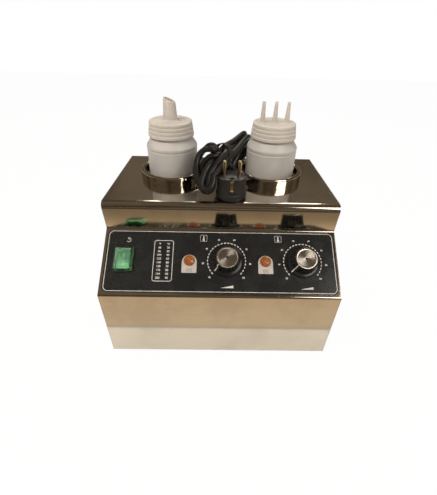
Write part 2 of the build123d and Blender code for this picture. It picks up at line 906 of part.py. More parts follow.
def terminal_screws():
    """The brass clamp screws of the terminal block."""
    z = base_z + sheet + terminal_height - 4
    screw = disc(2.4, 2.6)
    return Compound([Pos(x, terminal_y, z) * screw for x in (-10, 0, 10)])


def earth_stud():
    """The case's earth stud with its washer and nut."""
    z = base_z + sheet
    stud = disc(foot_screw_radius, earth_stud_length, 0, 0, -sheet)
    stud += disc(earth_washer_radius, earth_washer_thickness)
    stud += hexagon(nut_across, nut_height, earth_washer_thickness)
    return Pos(earth_stud_x, terminal_y, z) * stud


def lead_tail():
    """The three inner wires of the lead, from the gland between the wells to the terminals."""
    start_y = back_panel_y - sheet - gland_inside
    end_y = terminal_y + terminal_width / 2 - 5
    end_z = base_z + sheet + terminal_height / 2
    wires = []
    for place in (-1, 0, 1):
        route = [
            (place * 3.2, start_y, gland_height),
            (place * 3.2, start_y - 26, gland_height),
            (place * 7.0, start_y - 78, base_z + 22),
            (place * 10.0, end_y + 26, end_z),
            (place * 10.0, end_y, end_z),
        ]
        line = FilletPolyline(*route, radius=14.0)
        wires.append(sweep(Plane(origin=line @ 0, z_dir=line % 0) * Circle(wire_radius), path=line))
    return Compound(wires)


# ---------------------------------------------------------------- plug
def plug_body():
    """An angled mains plug standing on its back, with its strain relief towards the rear."""
    insert = Circle(plug_radius) & Rectangle(3 * plug_radius, 2 * plug_flat)
    body = extrude(insert, plug_height - plug_back_height)
    body = fillet(body.edges().group_by(Axis.Z)[-1], 0.8)
    body = Pos(0, 0, plug_back_height) * body
    back = disc(plug_back_radius, plug_back_height)
    back = fillet(back.edges().group_by(Axis.Z)[0], 2.5)
    body += back
    relief_y = plug_back_radius * 0.7
    length = relief_length + plug_back_radius - relief_y
    standing = (Align.CENTER, Align.CENTER, Align.MIN)
    sleeve = Cone(relief_base_radius, relief_tip_radius, length, align=standing)
    body += Pos(0, relief_y, relief_height) * Rot(-90, 0, 0) * sleeve
    for turn in (-1, 1):
        x = turn * (plug_radius - guide_depth / 2 + 0.4)
        body -= block(guide_depth + 0.8, guide_width, plug_height, x, 0, plug_back_height + 2)
        clip_y = turn * (plug_flat - clip_thickness / 2 + clip_thickness * 0.4)
        body -= block(clip_width, clip_thickness, clip_height, 0, clip_y, plug_height - clip_height - 0.8)
        body -= disc(pin_radius, pin_seat, turn * pin_spacing / 2, 0, plug_height - pin_seat)
    body -= disc(earth_hole_radius, 14, 0, earth_hole_y, plug_height - 14)
    return Pos(plug_x, plug_y, top_z) * body


def plug_pins():
    """The two round contact pins."""
    pin = disc(pin_radius, pin_seat + pin_length, 0, 0, plug_height - pin_seat)
    pin = fillet(pin.edges().group_by(Axis.Z)[-1], 1.4)
    places = [plug_x - pin_spacing / 2, plug_x + pin_spacing / 2]
    return Compound([Pos(x, plug_y, top_z) * pin for x in places])


def plug_earth_clips():
    """The spring contacts on the plug's two flats."""
    clips = []
    for turn in (-1, 1):
        y = turn * (plug_flat - clip_thickness / 2 + clip_thickness * 0.4)
        clip = block(clip_width, clip_thickness, clip_height, 0, y, plug_height - clip_height - 0.8)
        clips.append(Pos(plug_x, plug_y, top_z) * clip)
    return Compound(clips)


# ---------------------------------------------------------------- the lead on the top plate
# The hank lies across the top plate between the bottles: a front lobe that leans back on its
# fold, a tied waist, and a rear lobe on edge. Each lobe is a rounded ring of cord.
front_lobe_up = Vector(0.0, 0.66, 0.751).normalized()
front_lobe_across = Vector(0.905, -0.32, 0.281).normalized()
front_lobe_half = 15.0
front_lobe_straight = 15.0
rear_lobe_along = Vector(0.425, 0.885, 0.19).normalized()
rear_lobe_across = Vector(0.261, -0.125, 0.957).normalized()
rear_lobe_half = 19.0
rear_lobe_straight = 18.0


def lobe_height(along, across, half, straight):
    """Height of a lobe's centre above the top plate, so that its lowest side rests there."""
    return abs(along.Z) * straight + hypot(along.Z, across.Z) * half + bundle_radius + fit_gap


front_lobe_centre = Vector(
    -27.0,
    -12.0,
    lobe_height(front_lobe_up, front_lobe_across, front_lobe_half, front_lobe_straight),
)
rear_lobe_centre = Vector(
    21.2,
    55.0,
    lobe_height(rear_lobe_along, rear_lobe_across, rear_lobe_half, rear_lobe_straight),
)


def lobe(centre, along, across, half, straight):
    """A closed ring of bundled cord with straight sides and round ends."""
    face_normal = along.cross(across)
    frame = Plane(origin=centre + Vector(0, 0, top_z), x_dir=along, z_dir=face_normal)
    path = frame * SlotCenterToCenter(2 * straight, 2 * half).wire()
    section = Plane(origin=path @ 0, z_dir=path % 0) * Circle(bundle_radius)
    return sweep(section, path=path)


def strut(start, end, radius):
    """A round bar between two points given above the top plate."""
    lift = Vector(0, 0, top_z)
    direction = end - start
    frame = Plane(origin=start + lift, z_dir=direction)
    return frame.location * disc(radius, direction.length)


def free_end(start, heading, root):
    """A stub of cord from a flat end, straight along its heading and then into the hank."""
    lift = Vector(0, 0, top_z)
    bend = start + heading.normalized() * 3 * cord_radius
    line = FilletPolyline(start + lift, bend + lift, root + lift, radius=1.2 * cord_radius)
    return sweep(Plane(origin=line @ 0, z_dir=line % 0) * Circle(cord_radius), path=line)


def waist_ends():
    """Where the tied waist leaves the front lobe and joins the rear lobe."""
    front = front_lobe_centre + front_lobe_up * front_lobe_straight + front_lobe_across * front_lobe_half
    rear = rear_lobe_centre - rear_lobe_along * (rear_lobe_straight + 4) + rear_lobe_across * (
        rear_lobe_half * 0.8
    )
    return front, rear


# Above the top plate: where the lead leaves the hank, and the last point before it.
lead_start = Vector(34.0, 101.0, 22.0)
lead_before = Vector(31.0, 133.0, 21.7)
relief_end = Vector(plug_x, plug_y + plug_back_radius + relief_length, relief_height)


def cord_hank():
    """The bundled part of the lead, as one closed outer shape with its two free ends."""
    hank = lobe(
        front_lobe_centre, front_lobe_up, front_lobe_across, front_lobe_half, front_lobe_straight
    )
    hank += lobe(
        rear_lobe_centre, rear_lobe_along, rear_lobe_across, rear_lobe_half, rear_lobe_straight
    )
    front, rear = waist_ends()
    hank += strut(front, rear, bundle_radius)
    lead_root = rear_lobe_centre + rear_lobe_along * (rear_lobe_straight + rear_lobe_half)
    hank += free_end(lead_start, lead_start - lead_before, lead_root)
    tail_root = rear_lobe_centre - rear_lobe_along * rear_lobe_straight - rear_lobe_across * rear_lobe_half
    hank += free_end(relief_end, Vector(0, 1, 0), tail_root)
    return hank


def cord_tie():
    """The wire tie round the waist of the hank."""
    front, rear = waist_ends()
    middle = (front + rear) * 0.5
    half = (rear - front).normalized() * (tie_width / 2)
    band = strut(middle - half, middle + half, bundle_radius + running_clearance + tie_thickness)
    return band - strut(middle - half, middle + half, bundle_radius + running_clearance)


# The lead's route from the gland, up behind the case and over the rear edge to the hank.
lead_route = [
    (0.0, back_panel_y + gland_hex_height + gland_sleeve_length, gland_height),
    (0.0, 178.0, gland_height),
    (4.0, 198.0, 80.0),
    (9.0, 192.0, 118.0),
    (15.0, 176.0, 158.0),
    (23.0, 160.0, 198.0),
    (lead_before.X, lead_before.Y, lead_before.Z + top_z),
    (lead_start.X, lead_start.Y, lead_start.Z + top_z),
]


def tube_radii(route):
    """For each corner, the largest radius that its shorter run allows."""
    radii = []
    for before, corner, after in zip(route, route[1:], route[2:]):
        first = Vector(*corner) - Vector(*before)
        second = Vector(*after) - Vector(*corner)
        turn = radians(first.get_angle(second))
        radii.append(0.45 * min(first.length, second.length) / tan(turn / 2))
    return radii


def power_lead():
    """The lead between the gland and the hank."""
    radii = tube_radii(lead_route)
    line = FilletPolyline(*lead_route, radius=radii)
    tube = sweep(Plane(origin=line @ 0, z_dir=line % 0) * Circle(cord_radius), path=line)
    ratio = tube.volume / (pi * cord_radius**2 * line.length)
    print("lead radii", [round(radius) for radius in radii])
    print("lead length", round(line.length, 1), "volume over section times length", round(ratio, 4))
    return tube


# ---------------------------------------------------------------- every node
nodes = {
    "housing_wrap": housing_wrap(),
    "back_panel": back_panel(),
    "base_plate": base_plate(),
    "rubber_feet": rubber_feet(),
    "foot_screws": foot_screws(),
    "base_screws": base_screws(),
    "control_overlay": control_overlay(),
    "switch_housing": switch_housing(),
    "switch_boot": switch_boot(),
    "power_rocker": power_rocker(),
    "thermostat_nuts": thermostat_nuts(),
    "heater_screws": heater_screws(),
    "cap_left": cap_left(),
    "cap_right": cap_right(),
    "cable_gland": cable_gland(),
    "gland_locknut": gland_locknut(),
    "terminal_block": terminal_block(),
    "terminal_screws": terminal_screws(),
    "earth_stud": earth_stud(),
    "lead_tail": lead_tail(),
    "plug_body": plug_body(),
    "plug_pins": plug_pins(),
    "plug_earth_clips": plug_earth_clips(),
    "cord_hank": cord_hank(),
    "cord_tie": cord_tie(),
    "power_lead": power_lead(),
}
for side in sides:
    nodes[f"side_panel_{side}"] = side_panel(side)
    nodes[f"collar_{side}"] = collar(side)
    nodes[f"well_{side}"] = well(side)
    nodes[f"band_heater_{side}"] = band_heater(side)
    nodes[f"insulation_{side}"] = insulation(side)
    nodes[f"bulb_strap_{side}"] = bulb_strap(side)
    nodes[f"capillary_{side}"] = capillary(side)
    nodes[f"thermostat_body_{side}"] = thermostat_body(side)
    nodes[f"thermostat_shaft_{side}"] = thermostat_shaft(side)
    nodes[f"knob_{side}"] = knob(side)
    nodes[f"knob_disc_{side}"] = knob_disc(side)
    nodes[f"lamp_body_{side}"] = lamp_body(side)
    nodes[f"lamp_lens_{side}"] = lamp_lens(side)
    nodes[f"bottle_{side}"] = bottle(side)
    nodes[f"cap_seal_{side}"] = cap_seal(side)

for name, shape in nodes.items():
    export_step(shape, f"parts/{name}.step")
print(len(nodes), "nodes")
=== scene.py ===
import json
from math import atan2, cos, degrees, pi, radians, sin, sqrt, tan

import bmesh
import bpy
from mathutils import Matrix, Vector
from mathutils.kdtree import KDTree


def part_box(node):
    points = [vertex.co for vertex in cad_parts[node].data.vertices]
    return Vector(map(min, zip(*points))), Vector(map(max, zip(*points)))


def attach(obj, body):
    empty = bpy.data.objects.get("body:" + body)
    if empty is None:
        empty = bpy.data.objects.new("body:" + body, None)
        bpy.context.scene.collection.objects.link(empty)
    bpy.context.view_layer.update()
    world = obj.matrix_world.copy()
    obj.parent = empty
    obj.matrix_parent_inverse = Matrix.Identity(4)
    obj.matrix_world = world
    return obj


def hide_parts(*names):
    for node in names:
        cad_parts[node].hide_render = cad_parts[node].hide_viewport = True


bl_info = {
    "name": "Topping warmer",
    "version": (1, 0, 0),
    "blender": (4, 5, 0),
    "location": "View3D > Sidebar > Warmer",
    "description": "Dresses the two-well topping warmer: bottles, controls, lead, finishes and stage",
    "category": "Object",
}

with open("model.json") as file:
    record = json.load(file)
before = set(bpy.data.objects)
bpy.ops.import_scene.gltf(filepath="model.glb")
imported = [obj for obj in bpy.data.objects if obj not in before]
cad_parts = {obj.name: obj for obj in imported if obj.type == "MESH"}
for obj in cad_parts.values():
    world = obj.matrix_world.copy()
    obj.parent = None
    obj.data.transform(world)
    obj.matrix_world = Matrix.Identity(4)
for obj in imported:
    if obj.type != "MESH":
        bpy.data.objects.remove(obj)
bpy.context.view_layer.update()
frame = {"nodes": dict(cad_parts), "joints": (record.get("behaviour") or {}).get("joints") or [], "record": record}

MM = 0.001
SIDES = ("left", "right")
JOINTS = {joint["name"]: joint for joint in frame["joints"]}


def mm(*values):
    """A place in metres from millimetres."""
    return Vector(value * MM for value in values)


# ---------------------------------------------------------------- places taken from the frame
TOP_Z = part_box("collar_left")[0].z
KNOB_JOINT_LIFT = 10.0  # the knobs' hinge point above the panel
CONTROL_HEIGHT = 45.8  # the line of controls, up the slope from the fold
DIAL_X = {side: JOINTS[f"knob_{side}_turn"]["pos_m"][0] / MM for side in SIDES}
SWITCH_X = JOINTS["rocker_tilt"]["pos_m"][0] / MM
LAMP_OFFSET = -47.4
PANEL_OUT = -Vector(JOINTS["knob_left_turn"]["axis"]).normalized()
PANEL_UP = Vector((0, PANEL_OUT.z, -PANEL_OUT.y))
PANEL_TILT = atan2(PANEL_UP.z, PANEL_UP.y)
DIAL_PLACE = Vector(JOINTS["knob_left_turn"]["pos_m"])
PANEL_FOOT = DIAL_PLACE - PANEL_OUT * KNOB_JOINT_LIFT * MM - PANEL_UP * CONTROL_HEIGHT * MM
PANEL_FOOT.x = 0
FILM = 0.5  # the printed film's thickness


def on_panel(x, up, off=0.0):
    """A place on the sloping panel, in millimetres across, up the slope and off its face."""
    return PANEL_FOOT + Vector((x * MM, 0, 0)) + PANEL_UP * up * MM + PANEL_OUT * off * MM


def well_place(side):
    """Where the axis of a well passes the top plate."""
    low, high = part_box(f"collar_{side}")
    return Vector(((low.x + high.x) / 2, (low.y + high.y) / 2, TOP_Z))


WELL_AXES = [well_place(side) / MM for side in SIDES]


# ---------------------------------------------------------------- sizes and colours that a user may change
class WarmerSizes(bpy.types.PropertyGroup):
    """Sizes of the dressed pieces."""

    cord_diameter: bpy.props.FloatProperty(
        name="Lead", description="Outer diameter of the mains lead", default=7 * MM, unit="LENGTH"
    )
    cord_length: bpy.props.FloatProperty(
        name="Lead length", description="Length from the gland to the plug", default=1.73, unit="LENGTH"
    )
    print_line: bpy.props.FloatProperty(
        name="Printed line", description="Width of the panel's white lines", default=0.75 * MM, unit="LENGTH"
    )
    turned_steps: bpy.props.IntProperty(
        name="Turned steps", description="Faces round a turned piece", default=96, min=24, max=192
    )


class WarmerColours(bpy.types.PropertyGroup):
    """Colours of the finishes, as they are in the light."""

    steel: bpy.props.FloatVectorProperty(
        name="Steel", description="Brushed stainless sheet", default=(0.64, 0.585, 0.51), subtype="COLOR"
    )
    polished: bpy.props.FloatVectorProperty(
        name="Polished", description="Polished collars", default=(0.74, 0.68, 0.58), subtype="COLOR"
    )
    film: bpy.props.FloatVectorProperty(
        name="Panel film", description="Black printed film", default=(0.012, 0.012, 0.012), subtype="COLOR"
    )
    ink: bpy.props.FloatVectorProperty(
        name="Print", description="Pale print on the film", default=(0.50, 0.48, 0.44), subtype="COLOR"
    )
    bottle: bpy.props.FloatVectorProperty(
        name="Bottle", description="Natural polyethylene", default=(0.57, 0.535, 0.50), subtype="COLOR"
    )
    cap: bpy.props.FloatVectorProperty(
        name="Cap", description="Thicker natural polyethylene", default=(0.50, 0.455, 0.405), subtype="COLOR"
    )
    rocker: bpy.props.FloatVectorProperty(
        name="Rocker", description="Green rocker", default=(0.006, 0.11, 0.03), subtype="COLOR"
    )
    amber: bpy.props.FloatVectorProperty(
        name="Lamp", description="Amber lens", default=(0.34, 0.10, 0.02), subtype="COLOR"
    )
    sheath: bpy.props.FloatVectorProperty(
        name="Sheath", description="Black of the lead and plug", default=(0.012, 0.011, 0.010), subtype="COLOR"
    )


def sizes():
    return bpy.context.scene.warmer_sizes


def colours():
    return bpy.context.scene.warmer_colours


# ---------------------------------------------------------------- modelling helpers
def select_only(piece):
    """Leave edit mode, and select and activate nothing but this piece."""
    if bpy.context.object and bpy.context.object.mode != "OBJECT":
        bpy.ops.object.mode_set(mode="OBJECT")
    bpy.ops.object.select_all(action="DESELECT")
    if piece:
        piece.select_set(True)
    bpy.context.view_layer.objects.active = piece


def start_point(place):
    """A new mesh of one selected point, in edit mode."""
    select_only(None)
    bpy.ops.mesh.primitive_plane_add(size=MM)
    bpy.ops.object.mode_set(mode="EDIT")
    bpy.ops.mesh.select_mode(type="VERT")
    bpy.ops.mesh.select_all(action="SELECT")
    bpy.ops.mesh.merge(type="CENTER")
    bpy.ops.transform.translate(value=place)
    return bpy.context.object


def draw_line(points, closed=False):
    """Extrude a point through the given places, and join the ends if the line is closed."""
    piece = start_point(points[0])
    for before, after in zip(points, points[1:]):
        bpy.ops.mesh.extrude_region_move(TRANSFORM_OT_translate={"value": after - before})
    if closed:
        bpy.ops.mesh.select_all(action="SELECT")
        bpy.ops.mesh.remove_doubles(threshold=0.001 * MM)
    return piece


def rounded(corners, steps=5, closed=False):
    """A flat outline in millimetres from corners (across, up, radius), with the corners as arcs."""
    line = []
    last = len(corners) - 1
    for index, (across, up, radius) in enumerate(corners):
        here = Vector((across, up))
        if radius == 0 or (not closed and index in (0, last)):
            line.append(here)
            continue
        before = (Vector(corners[index - 1][:2]) - here).normalized()
        after = (Vector(corners[(index + 1) % len(corners)][:2]) - here).normalized()
        half = before.angle(after) / 2
        middle = here + (before + after).normalized() * radius / sin(half)
        first = here + before * radius / tan(half) - middle
        final = here + after * radius / tan(half) - middle
        start = atan2(first.y, first.x)
        sweep = (atan2(final.y, final.x) - start + pi) % (2 * pi) - pi
        for step in range(steps + 1):
            angle = start + sweep * step / steps
            line.append(middle + radius * Vector((cos(angle), sin(angle))))
    if closed:
        line.append(line[0])
    return line


def turn_outline(corners, closed=False, steps=None, fillet_steps=5, around=2 * pi):
    """Spin an outline of (radius, height, corner radius) in millimetres round the Z axis."""
    line = [Vector((p.x, 0, p.y)) * MM for p in rounded(corners, fillet_steps, closed)]
    piece = draw_line(line)
    bpy.ops.mesh.select_all(action="SELECT")
    bpy.ops.mesh.spin(
        steps=steps or sizes().turned_steps, angle=around, center=(0, 0, 0), axis=(0, 0, 1)
    )
    bpy.ops.mesh.select_all(action="SELECT")
    bpy.ops.mesh.remove_doubles(threshold=0.002 * MM)
    bpy.ops.mesh.normals_make_consistent(inside=False)
    bpy.ops.object.mode_set(mode="OBJECT")
    return piece


def extrude_outline(corners, depth, fillet_steps=5):
    """A plate from a closed outline of (x, y, corner radius), from Z 0 up to depth."""
    line = [Vector((p.x, p.y, 0)) * MM for p in rounded(corners, fillet_steps, True)]
    piece = draw_line(line, closed=True)
    bpy.ops.mesh.edge_face_add()
    bpy.ops.mesh.extrude_region_move(TRANSFORM_OT_translate={"value": (0, 0, depth * MM)})
    bpy.ops.mesh.select_all(action="SELECT")
    bpy.ops.mesh.normals_make_consistent(inside=False)
    bpy.ops.object.mode_set(mode="OBJECT")
    return piece


def rectangle(width, height, radius, x=0.0, y=0.0):
    """Corners of a rounded rectangle."""
    half, tall = width / 2, height / 2
    return [
        (x - half, y - tall, radius),
        (x + half, y - tall, radius),
        (x + half, y + tall, radius),
        (x - half, y + tall, radius),
    ]


def pick(piece, test):
    """In edit mode, select the points that pass a test of their place in millimetres."""
    bpy.ops.object.mode_set(mode="EDIT")
    bpy.ops.mesh.select_mode(type="VERT")
    bpy.ops.mesh.select_all(action="DESELECT")
    mesh = bmesh.from_edit_mesh(piece.data)
    for vertex in mesh.verts:
        vertex.select_set(bool(test(vertex.co / MM)))
    mesh.select_flush(True)
    bmesh.update_edit_mesh(piece.data)


def pick_faces(piece, test):
    """In edit mode, select the faces that pass a test of their middle in millimetres and normal."""
    bpy.ops.object.mode_set(mode="EDIT")
    bpy.ops.mesh.select_mode(type="FACE")
    bpy.ops.mesh.select_all(action="DESELECT")
    mesh = bmesh.from_edit_mesh(piece.data)
    for face in mesh.faces:
        face.select_set(bool(test(face.calc_center_median() / MM, face.normal)))
    bmesh.update_edit_mesh(piece.data)


def place_piece(piece, place, tilt=0.0, turn=0.0, spin=0.0):
    """Put a piece at a place, turned about Z and then tilted about X, and make that its mesh."""
    select_only(piece)
    turned = Matrix.Rotation(turn, 4, "Z") @ Matrix.Rotation(tilt, 4, "X") @ Matrix.Rotation(spin, 4, "Z")
    piece.matrix_world = Matrix.Translation(place) @ turned
    bpy.ops.object.transform_apply(location=True, rotation=True, scale=True)
    return piece


def copy_of(piece):
    """A copy of a piece with its own mesh."""
    twin = piece.copy()
    twin.data = piece.data.copy()
    bpy.context.scene.collection.objects.link(twin)
    return twin


def join(pieces):
    """Several pieces as one mesh."""
    select_only(pieces[0])
    for piece in pieces:
        piece.select_set(True)
    if len(pieces) > 1:
        bpy.ops.object.join()
    return bpy.context.view_layer.objects.active


def cut(piece, tool):
    """Take one piece's shape out of another."""
    select_only(piece)
    change = piece.modifiers.new("cut", "BOOLEAN")
    change.operation = "DIFFERENCE"
    change.solver = "EXACT"
    change.object = tool
    bpy.ops.object.modifier_apply(modifier=change.name)
    bpy.data.objects.remove(tool)
    return piece


def bevel(piece, width, segments=2, angle=30):
    """Round a piece's sharp edges."""
    select_only(piece)
    change = piece.modifiers.new("round", "BEVEL")
    change.width = width * MM
    change.segments = segments
    change.limit_method = "ANGLE"
    change.angle_limit = radians(angle)
    bpy.ops.object.modifier_apply(modifier=change.name)
    return piece


def finish_piece(piece, name, body, material, replaces=(), smooth=32):
    """Name a finished piece, smooth it, give it its finish and make it ride on its body."""
    select_only(piece)
    bpy.ops.object.transform_apply(location=True, rotation=True, scale=True)
    if piece.type == "MESH":
        bpy.ops.object.shade_smooth_by_angle(angle=radians(smooth))
    piece.name = name
    piece.data.name = name
    piece.data.materials.clear()
    piece.data.materials.append(material)
    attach(piece, body)
    if replaces:
        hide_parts(*replaces)
    return piece


# ---------------------------------------------------------------- shared effects in the finishes
def effect_group(name, inputs):
    """An empty node group with a Vector and number inputs, and one Value output."""
    group = bpy.data.node_groups.new(name, "ShaderNodeTree")
    group.interface.new_socket("Vector", in_out="INPUT", socket_type="NodeSocketVector")
    for label, default in inputs.items():
        socket = group.interface.new_socket(label, in_out="INPUT", socket_type="NodeSocketFloat")
        socket.default_value = default
    group.interface.new_socket("Value", in_out="OUTPUT", socket_type="NodeSocketFloat")
    return group, group.nodes.new("NodeGroupInput"), group.nodes.new("NodeGroupOutput")


def smudge_group():
    """Soft patches from handling: 0 where clean, 1 where dull."""
    group, given, result = effect_group("smudges", {"Scale": 30.0, "Threshold": 0.5})
    noise = group.nodes.new("ShaderNodeTexNoise")
    noise.inputs["Detail"].default_value = 5
    noise.inputs["Roughness"].default_value = 0.62
    spread = group.nodes.new("ShaderNodeMapRange")
    spread.interpolation_type = "SMOOTHSTEP"
    above = group.nodes.new("ShaderNodeMath")
    above.inputs[1].default_value = 0.22
    link = group.links.new
    link(given.outputs["Vector"], noise.inputs["Vector"])
    link(given.outputs["Scale"], noise.inputs["Scale"])
    link(given.outputs["Threshold"], above.inputs[0])
    link(noise.outputs["Fac"], spread.inputs["Value"])
    link(given.outputs["Threshold"], spread.inputs["From Min"])
    link(above.outputs[0], spread.inputs["From Max"])
    link(spread.outputs["Result"], result.inputs["Value"])
    return group


def grain_group():
    """Fine streaks or speckle: noise on stretched coordinates, about 0.5 on average."""
    group, given, result = effect_group("grain", {"Scale": 400.0, "Detail": 3.0})
    noise = group.nodes.new("ShaderNodeTexNoise")
    noise.inputs["Roughness"].default_value = 0.55
    link = group.links.new
    link(given.outputs["Vector"], noise.inputs["Vector"])
    link(given.outputs["Scale"], noise.inputs["Scale"])
    link(given.outputs["Detail"], noise.inputs["Detail"])
    link(noise.outputs["Fac"], result.inputs["Value"])
    return group


def scratch_group():
    """Sparse hairline scratches: 1 on a scratch."""
    group, given, result = effect_group("scratches", {"Scale": 60.0, "Amount": 0.04})
    wander = group.nodes.new("ShaderNodeTexNoise")
    wander.inputs["Scale"].default_value = 14
    bend = group.nodes.new("ShaderNodeMixRGB")
    bend.inputs["Fac"].default_value = 0.06
    cells = group.nodes.new("ShaderNodeTexVoronoi")
    cells.feature = "DISTANCE_TO_EDGE"
    edge = group.nodes.new("ShaderNodeMath")
    edge.operation = "LESS_THAN"
    link = group.links.new
    link(given.outputs["Vector"], wander.inputs["Vector"])
    link(given.outputs["Vector"], bend.inputs["Color1"])
    link(wander.outputs["Color"], bend.inputs["Color2"])
    link(bend.outputs["Color"], cells.inputs["Vector"])
    link(given.outputs["Scale"], cells.inputs["Scale"])
    link(cells.outputs["Distance"], edge.inputs[0])
    link(given.outputs["Amount"], edge.inputs[1])
    link(edge.outputs[0], result.inputs["Value"])
    return group


def effect(name):
    """A shared effect, built the first time it is asked for."""
    makers = {"smudges": smudge_group, "grain": grain_group, "scratches": scratch_group}
    return bpy.data.node_groups.get(name) or makers[name]()


def coordinates(tree, stretch=(1, 1, 1), turn=(0, 0, 0), centre=(0, 0, 0)):
    """Object coordinates, moved to a centre, turned and stretched."""
    source = tree.nodes.new("ShaderNodeTexCoord")
    mapping = tree.nodes.new("ShaderNodeMapping")
    mapping.vector_type = "TEXTURE"
    mapping.inputs["Location"].default_value = centre
    mapping.inputs["Rotation"].default_value = turn
    mapping.inputs["Scale"].default_value = [1 / value for value in stretch]
    tree.links.new(source.outputs["Object"], mapping.inputs["Vector"])
    return mapping.outputs["Vector"]


def place_effect(tree, name, vector, **values):
    """A shared effect in a material, with its own values."""
    node = tree.nodes.new("ShaderNodeGroup")
    node.node_tree = effect(name)
    tree.links.new(vector, node.inputs["Vector"])
    for label, value in values.items():
        node.inputs[label].default_value = value
    return node.outputs["Value"]


def ramp_between(tree, mask, low, high):
    """A number that runs from low to high with a mask."""
    node = tree.nodes.new("ShaderNodeMapRange")
    node.inputs["To Min"].default_value = low
    node.inputs["To Max"].default_value = high
    tree.links.new(mask, node.inputs["Value"])
    return node.outputs["Result"]


def mix_colours(tree, mask, first, second):
    """A colour that runs from the first to the second with a mask; each is a colour or a socket."""
    node = tree.nodes.new("ShaderNodeMix")
    node.data_type = "RGBA"
    tree.links.new(mask, node.inputs["Factor"])
    for socket, value in ((node.inputs[6], first), (node.inputs[7], second)):
        if isinstance(value, bpy.types.NodeSocket):
            tree.links.new(value, socket)
        else:
            socket.default_value = (*value, 1)
    return node.outputs[2]


def shade(colour, factor):
    """A colour made lighter or darker."""
    return tuple(min(1.0, channel * factor) for channel in colour)


def new_finish(name, **sockets):
    """A material with plain values on its own shader's sockets."""
    material = bpy.data.materials.new(name)
    material.use_nodes = True
    shader = material.node_tree.nodes["Principled BSDF"]
    for label, value in sockets.items():
        shader.inputs[label.replace("_", " ")].default_value = value
    return material, material.node_tree, shader


def add_bump(tree, shader, height, distance, strength=1.0):
    """Raise the surface by a height in millimetres."""
    node = tree.nodes.new("ShaderNodeBump")
    node.inputs["Strength"].default_value = strength
    node.inputs["Distance"].default_value = distance * MM
    tree.links.new(height, node.inputs["Height"])
    tree.links.new(node.outputs["Normal"], shader.inputs["Normal"])


# ---------------------------------------------------------------- finishes
def moulded(name, colour, rough, spread=0.08, speckle=900.0, relief=0.02, tint=0.12, **sockets):
    """Moulded plastic or rubber: fine speckle, slight mottling and handling marks."""
    material, tree, shader = new_finish(name, **sockets)
    vector = coordinates(tree)
    dull = place_effect(tree, "smudges", vector, Scale=45.0, Threshold=0.42)
    fine = place_effect(tree, "grain", vector, Scale=speckle, Detail=4.0)
    tone = mix_colours(tree, dull, shade(colour, 1 - tint), shade(colour, 1 + tint))
    tree.links.new(tone, shader.inputs["Base Color"])
    tree.links.new(ramp_between(tree, dull, rough - spread / 2, rough + spread), shader.inputs["Roughness"])
    add_bump(tree, shader, fine, relief)
    return material


def brushed(name, colour, rough, grain_along=(1, 0, 0), streak=0.10, relief=0.004, smear=0.10):
    """Brushed or rolled sheet: streaks along one direction, smudges and a few hairlines."""
    material, tree, shader = new_finish(name, Metallic=1.0)
    stretch = [0.02 if value else 1.0 for value in grain_along]
    streaks = place_effect(tree, "grain", coordinates(tree, stretch), Scale=900.0, Detail=5.0)
    plain = coordinates(tree)
    dull = place_effect(tree, "smudges", plain, Scale=16.0, Threshold=0.44)
    lines = place_effect(tree, "scratches", plain, Scale=22.0, Amount=0.0015)
    tone = mix_colours(tree, streaks, shade(colour, 1 - streak), shade(colour, 1 + streak))
    tone = mix_colours(tree, dull, tone, shade(colour, 0.9))
    tree.links.new(tone, shader.inputs["Base Color"])
    base = ramp_between(tree, dull, rough, rough + smear)
    node = tree.nodes.new("ShaderNodeMath")
    node.operation = "MULTIPLY_ADD"
    node.inputs[1].default_value = 0.12
    tree.links.new(lines, node.inputs[0])
    tree.links.new(base, node.inputs[2])
    tree.links.new(node.outputs[0], shader.inputs["Roughness"])
    add_bump(tree, shader, streaks, relief)
    return material


def polished(name, colour, rough, **sockets):
    """Polished or turned metal with light smudges."""
    material, tree, shader = new_finish(name, Metallic=1.0, **sockets)
    vector = coordinates(tree)
    dull = place_effect(tree, "smudges", vector, Scale=60.0, Threshold=0.45)
    fine = place_effect(tree, "grain", vector, Scale=700.0, Detail=3.0)
    tone = mix_colours(tree, dull, colour, shade(colour, 0.82))
    tree.links.new(tone, shader.inputs["Base Color"])
    tree.links.new(ramp_between(tree, dull, rough, rough + 0.08), shader.inputs["Roughness"])
    add_bump(tree, shader, fine, 0.003)
    return material


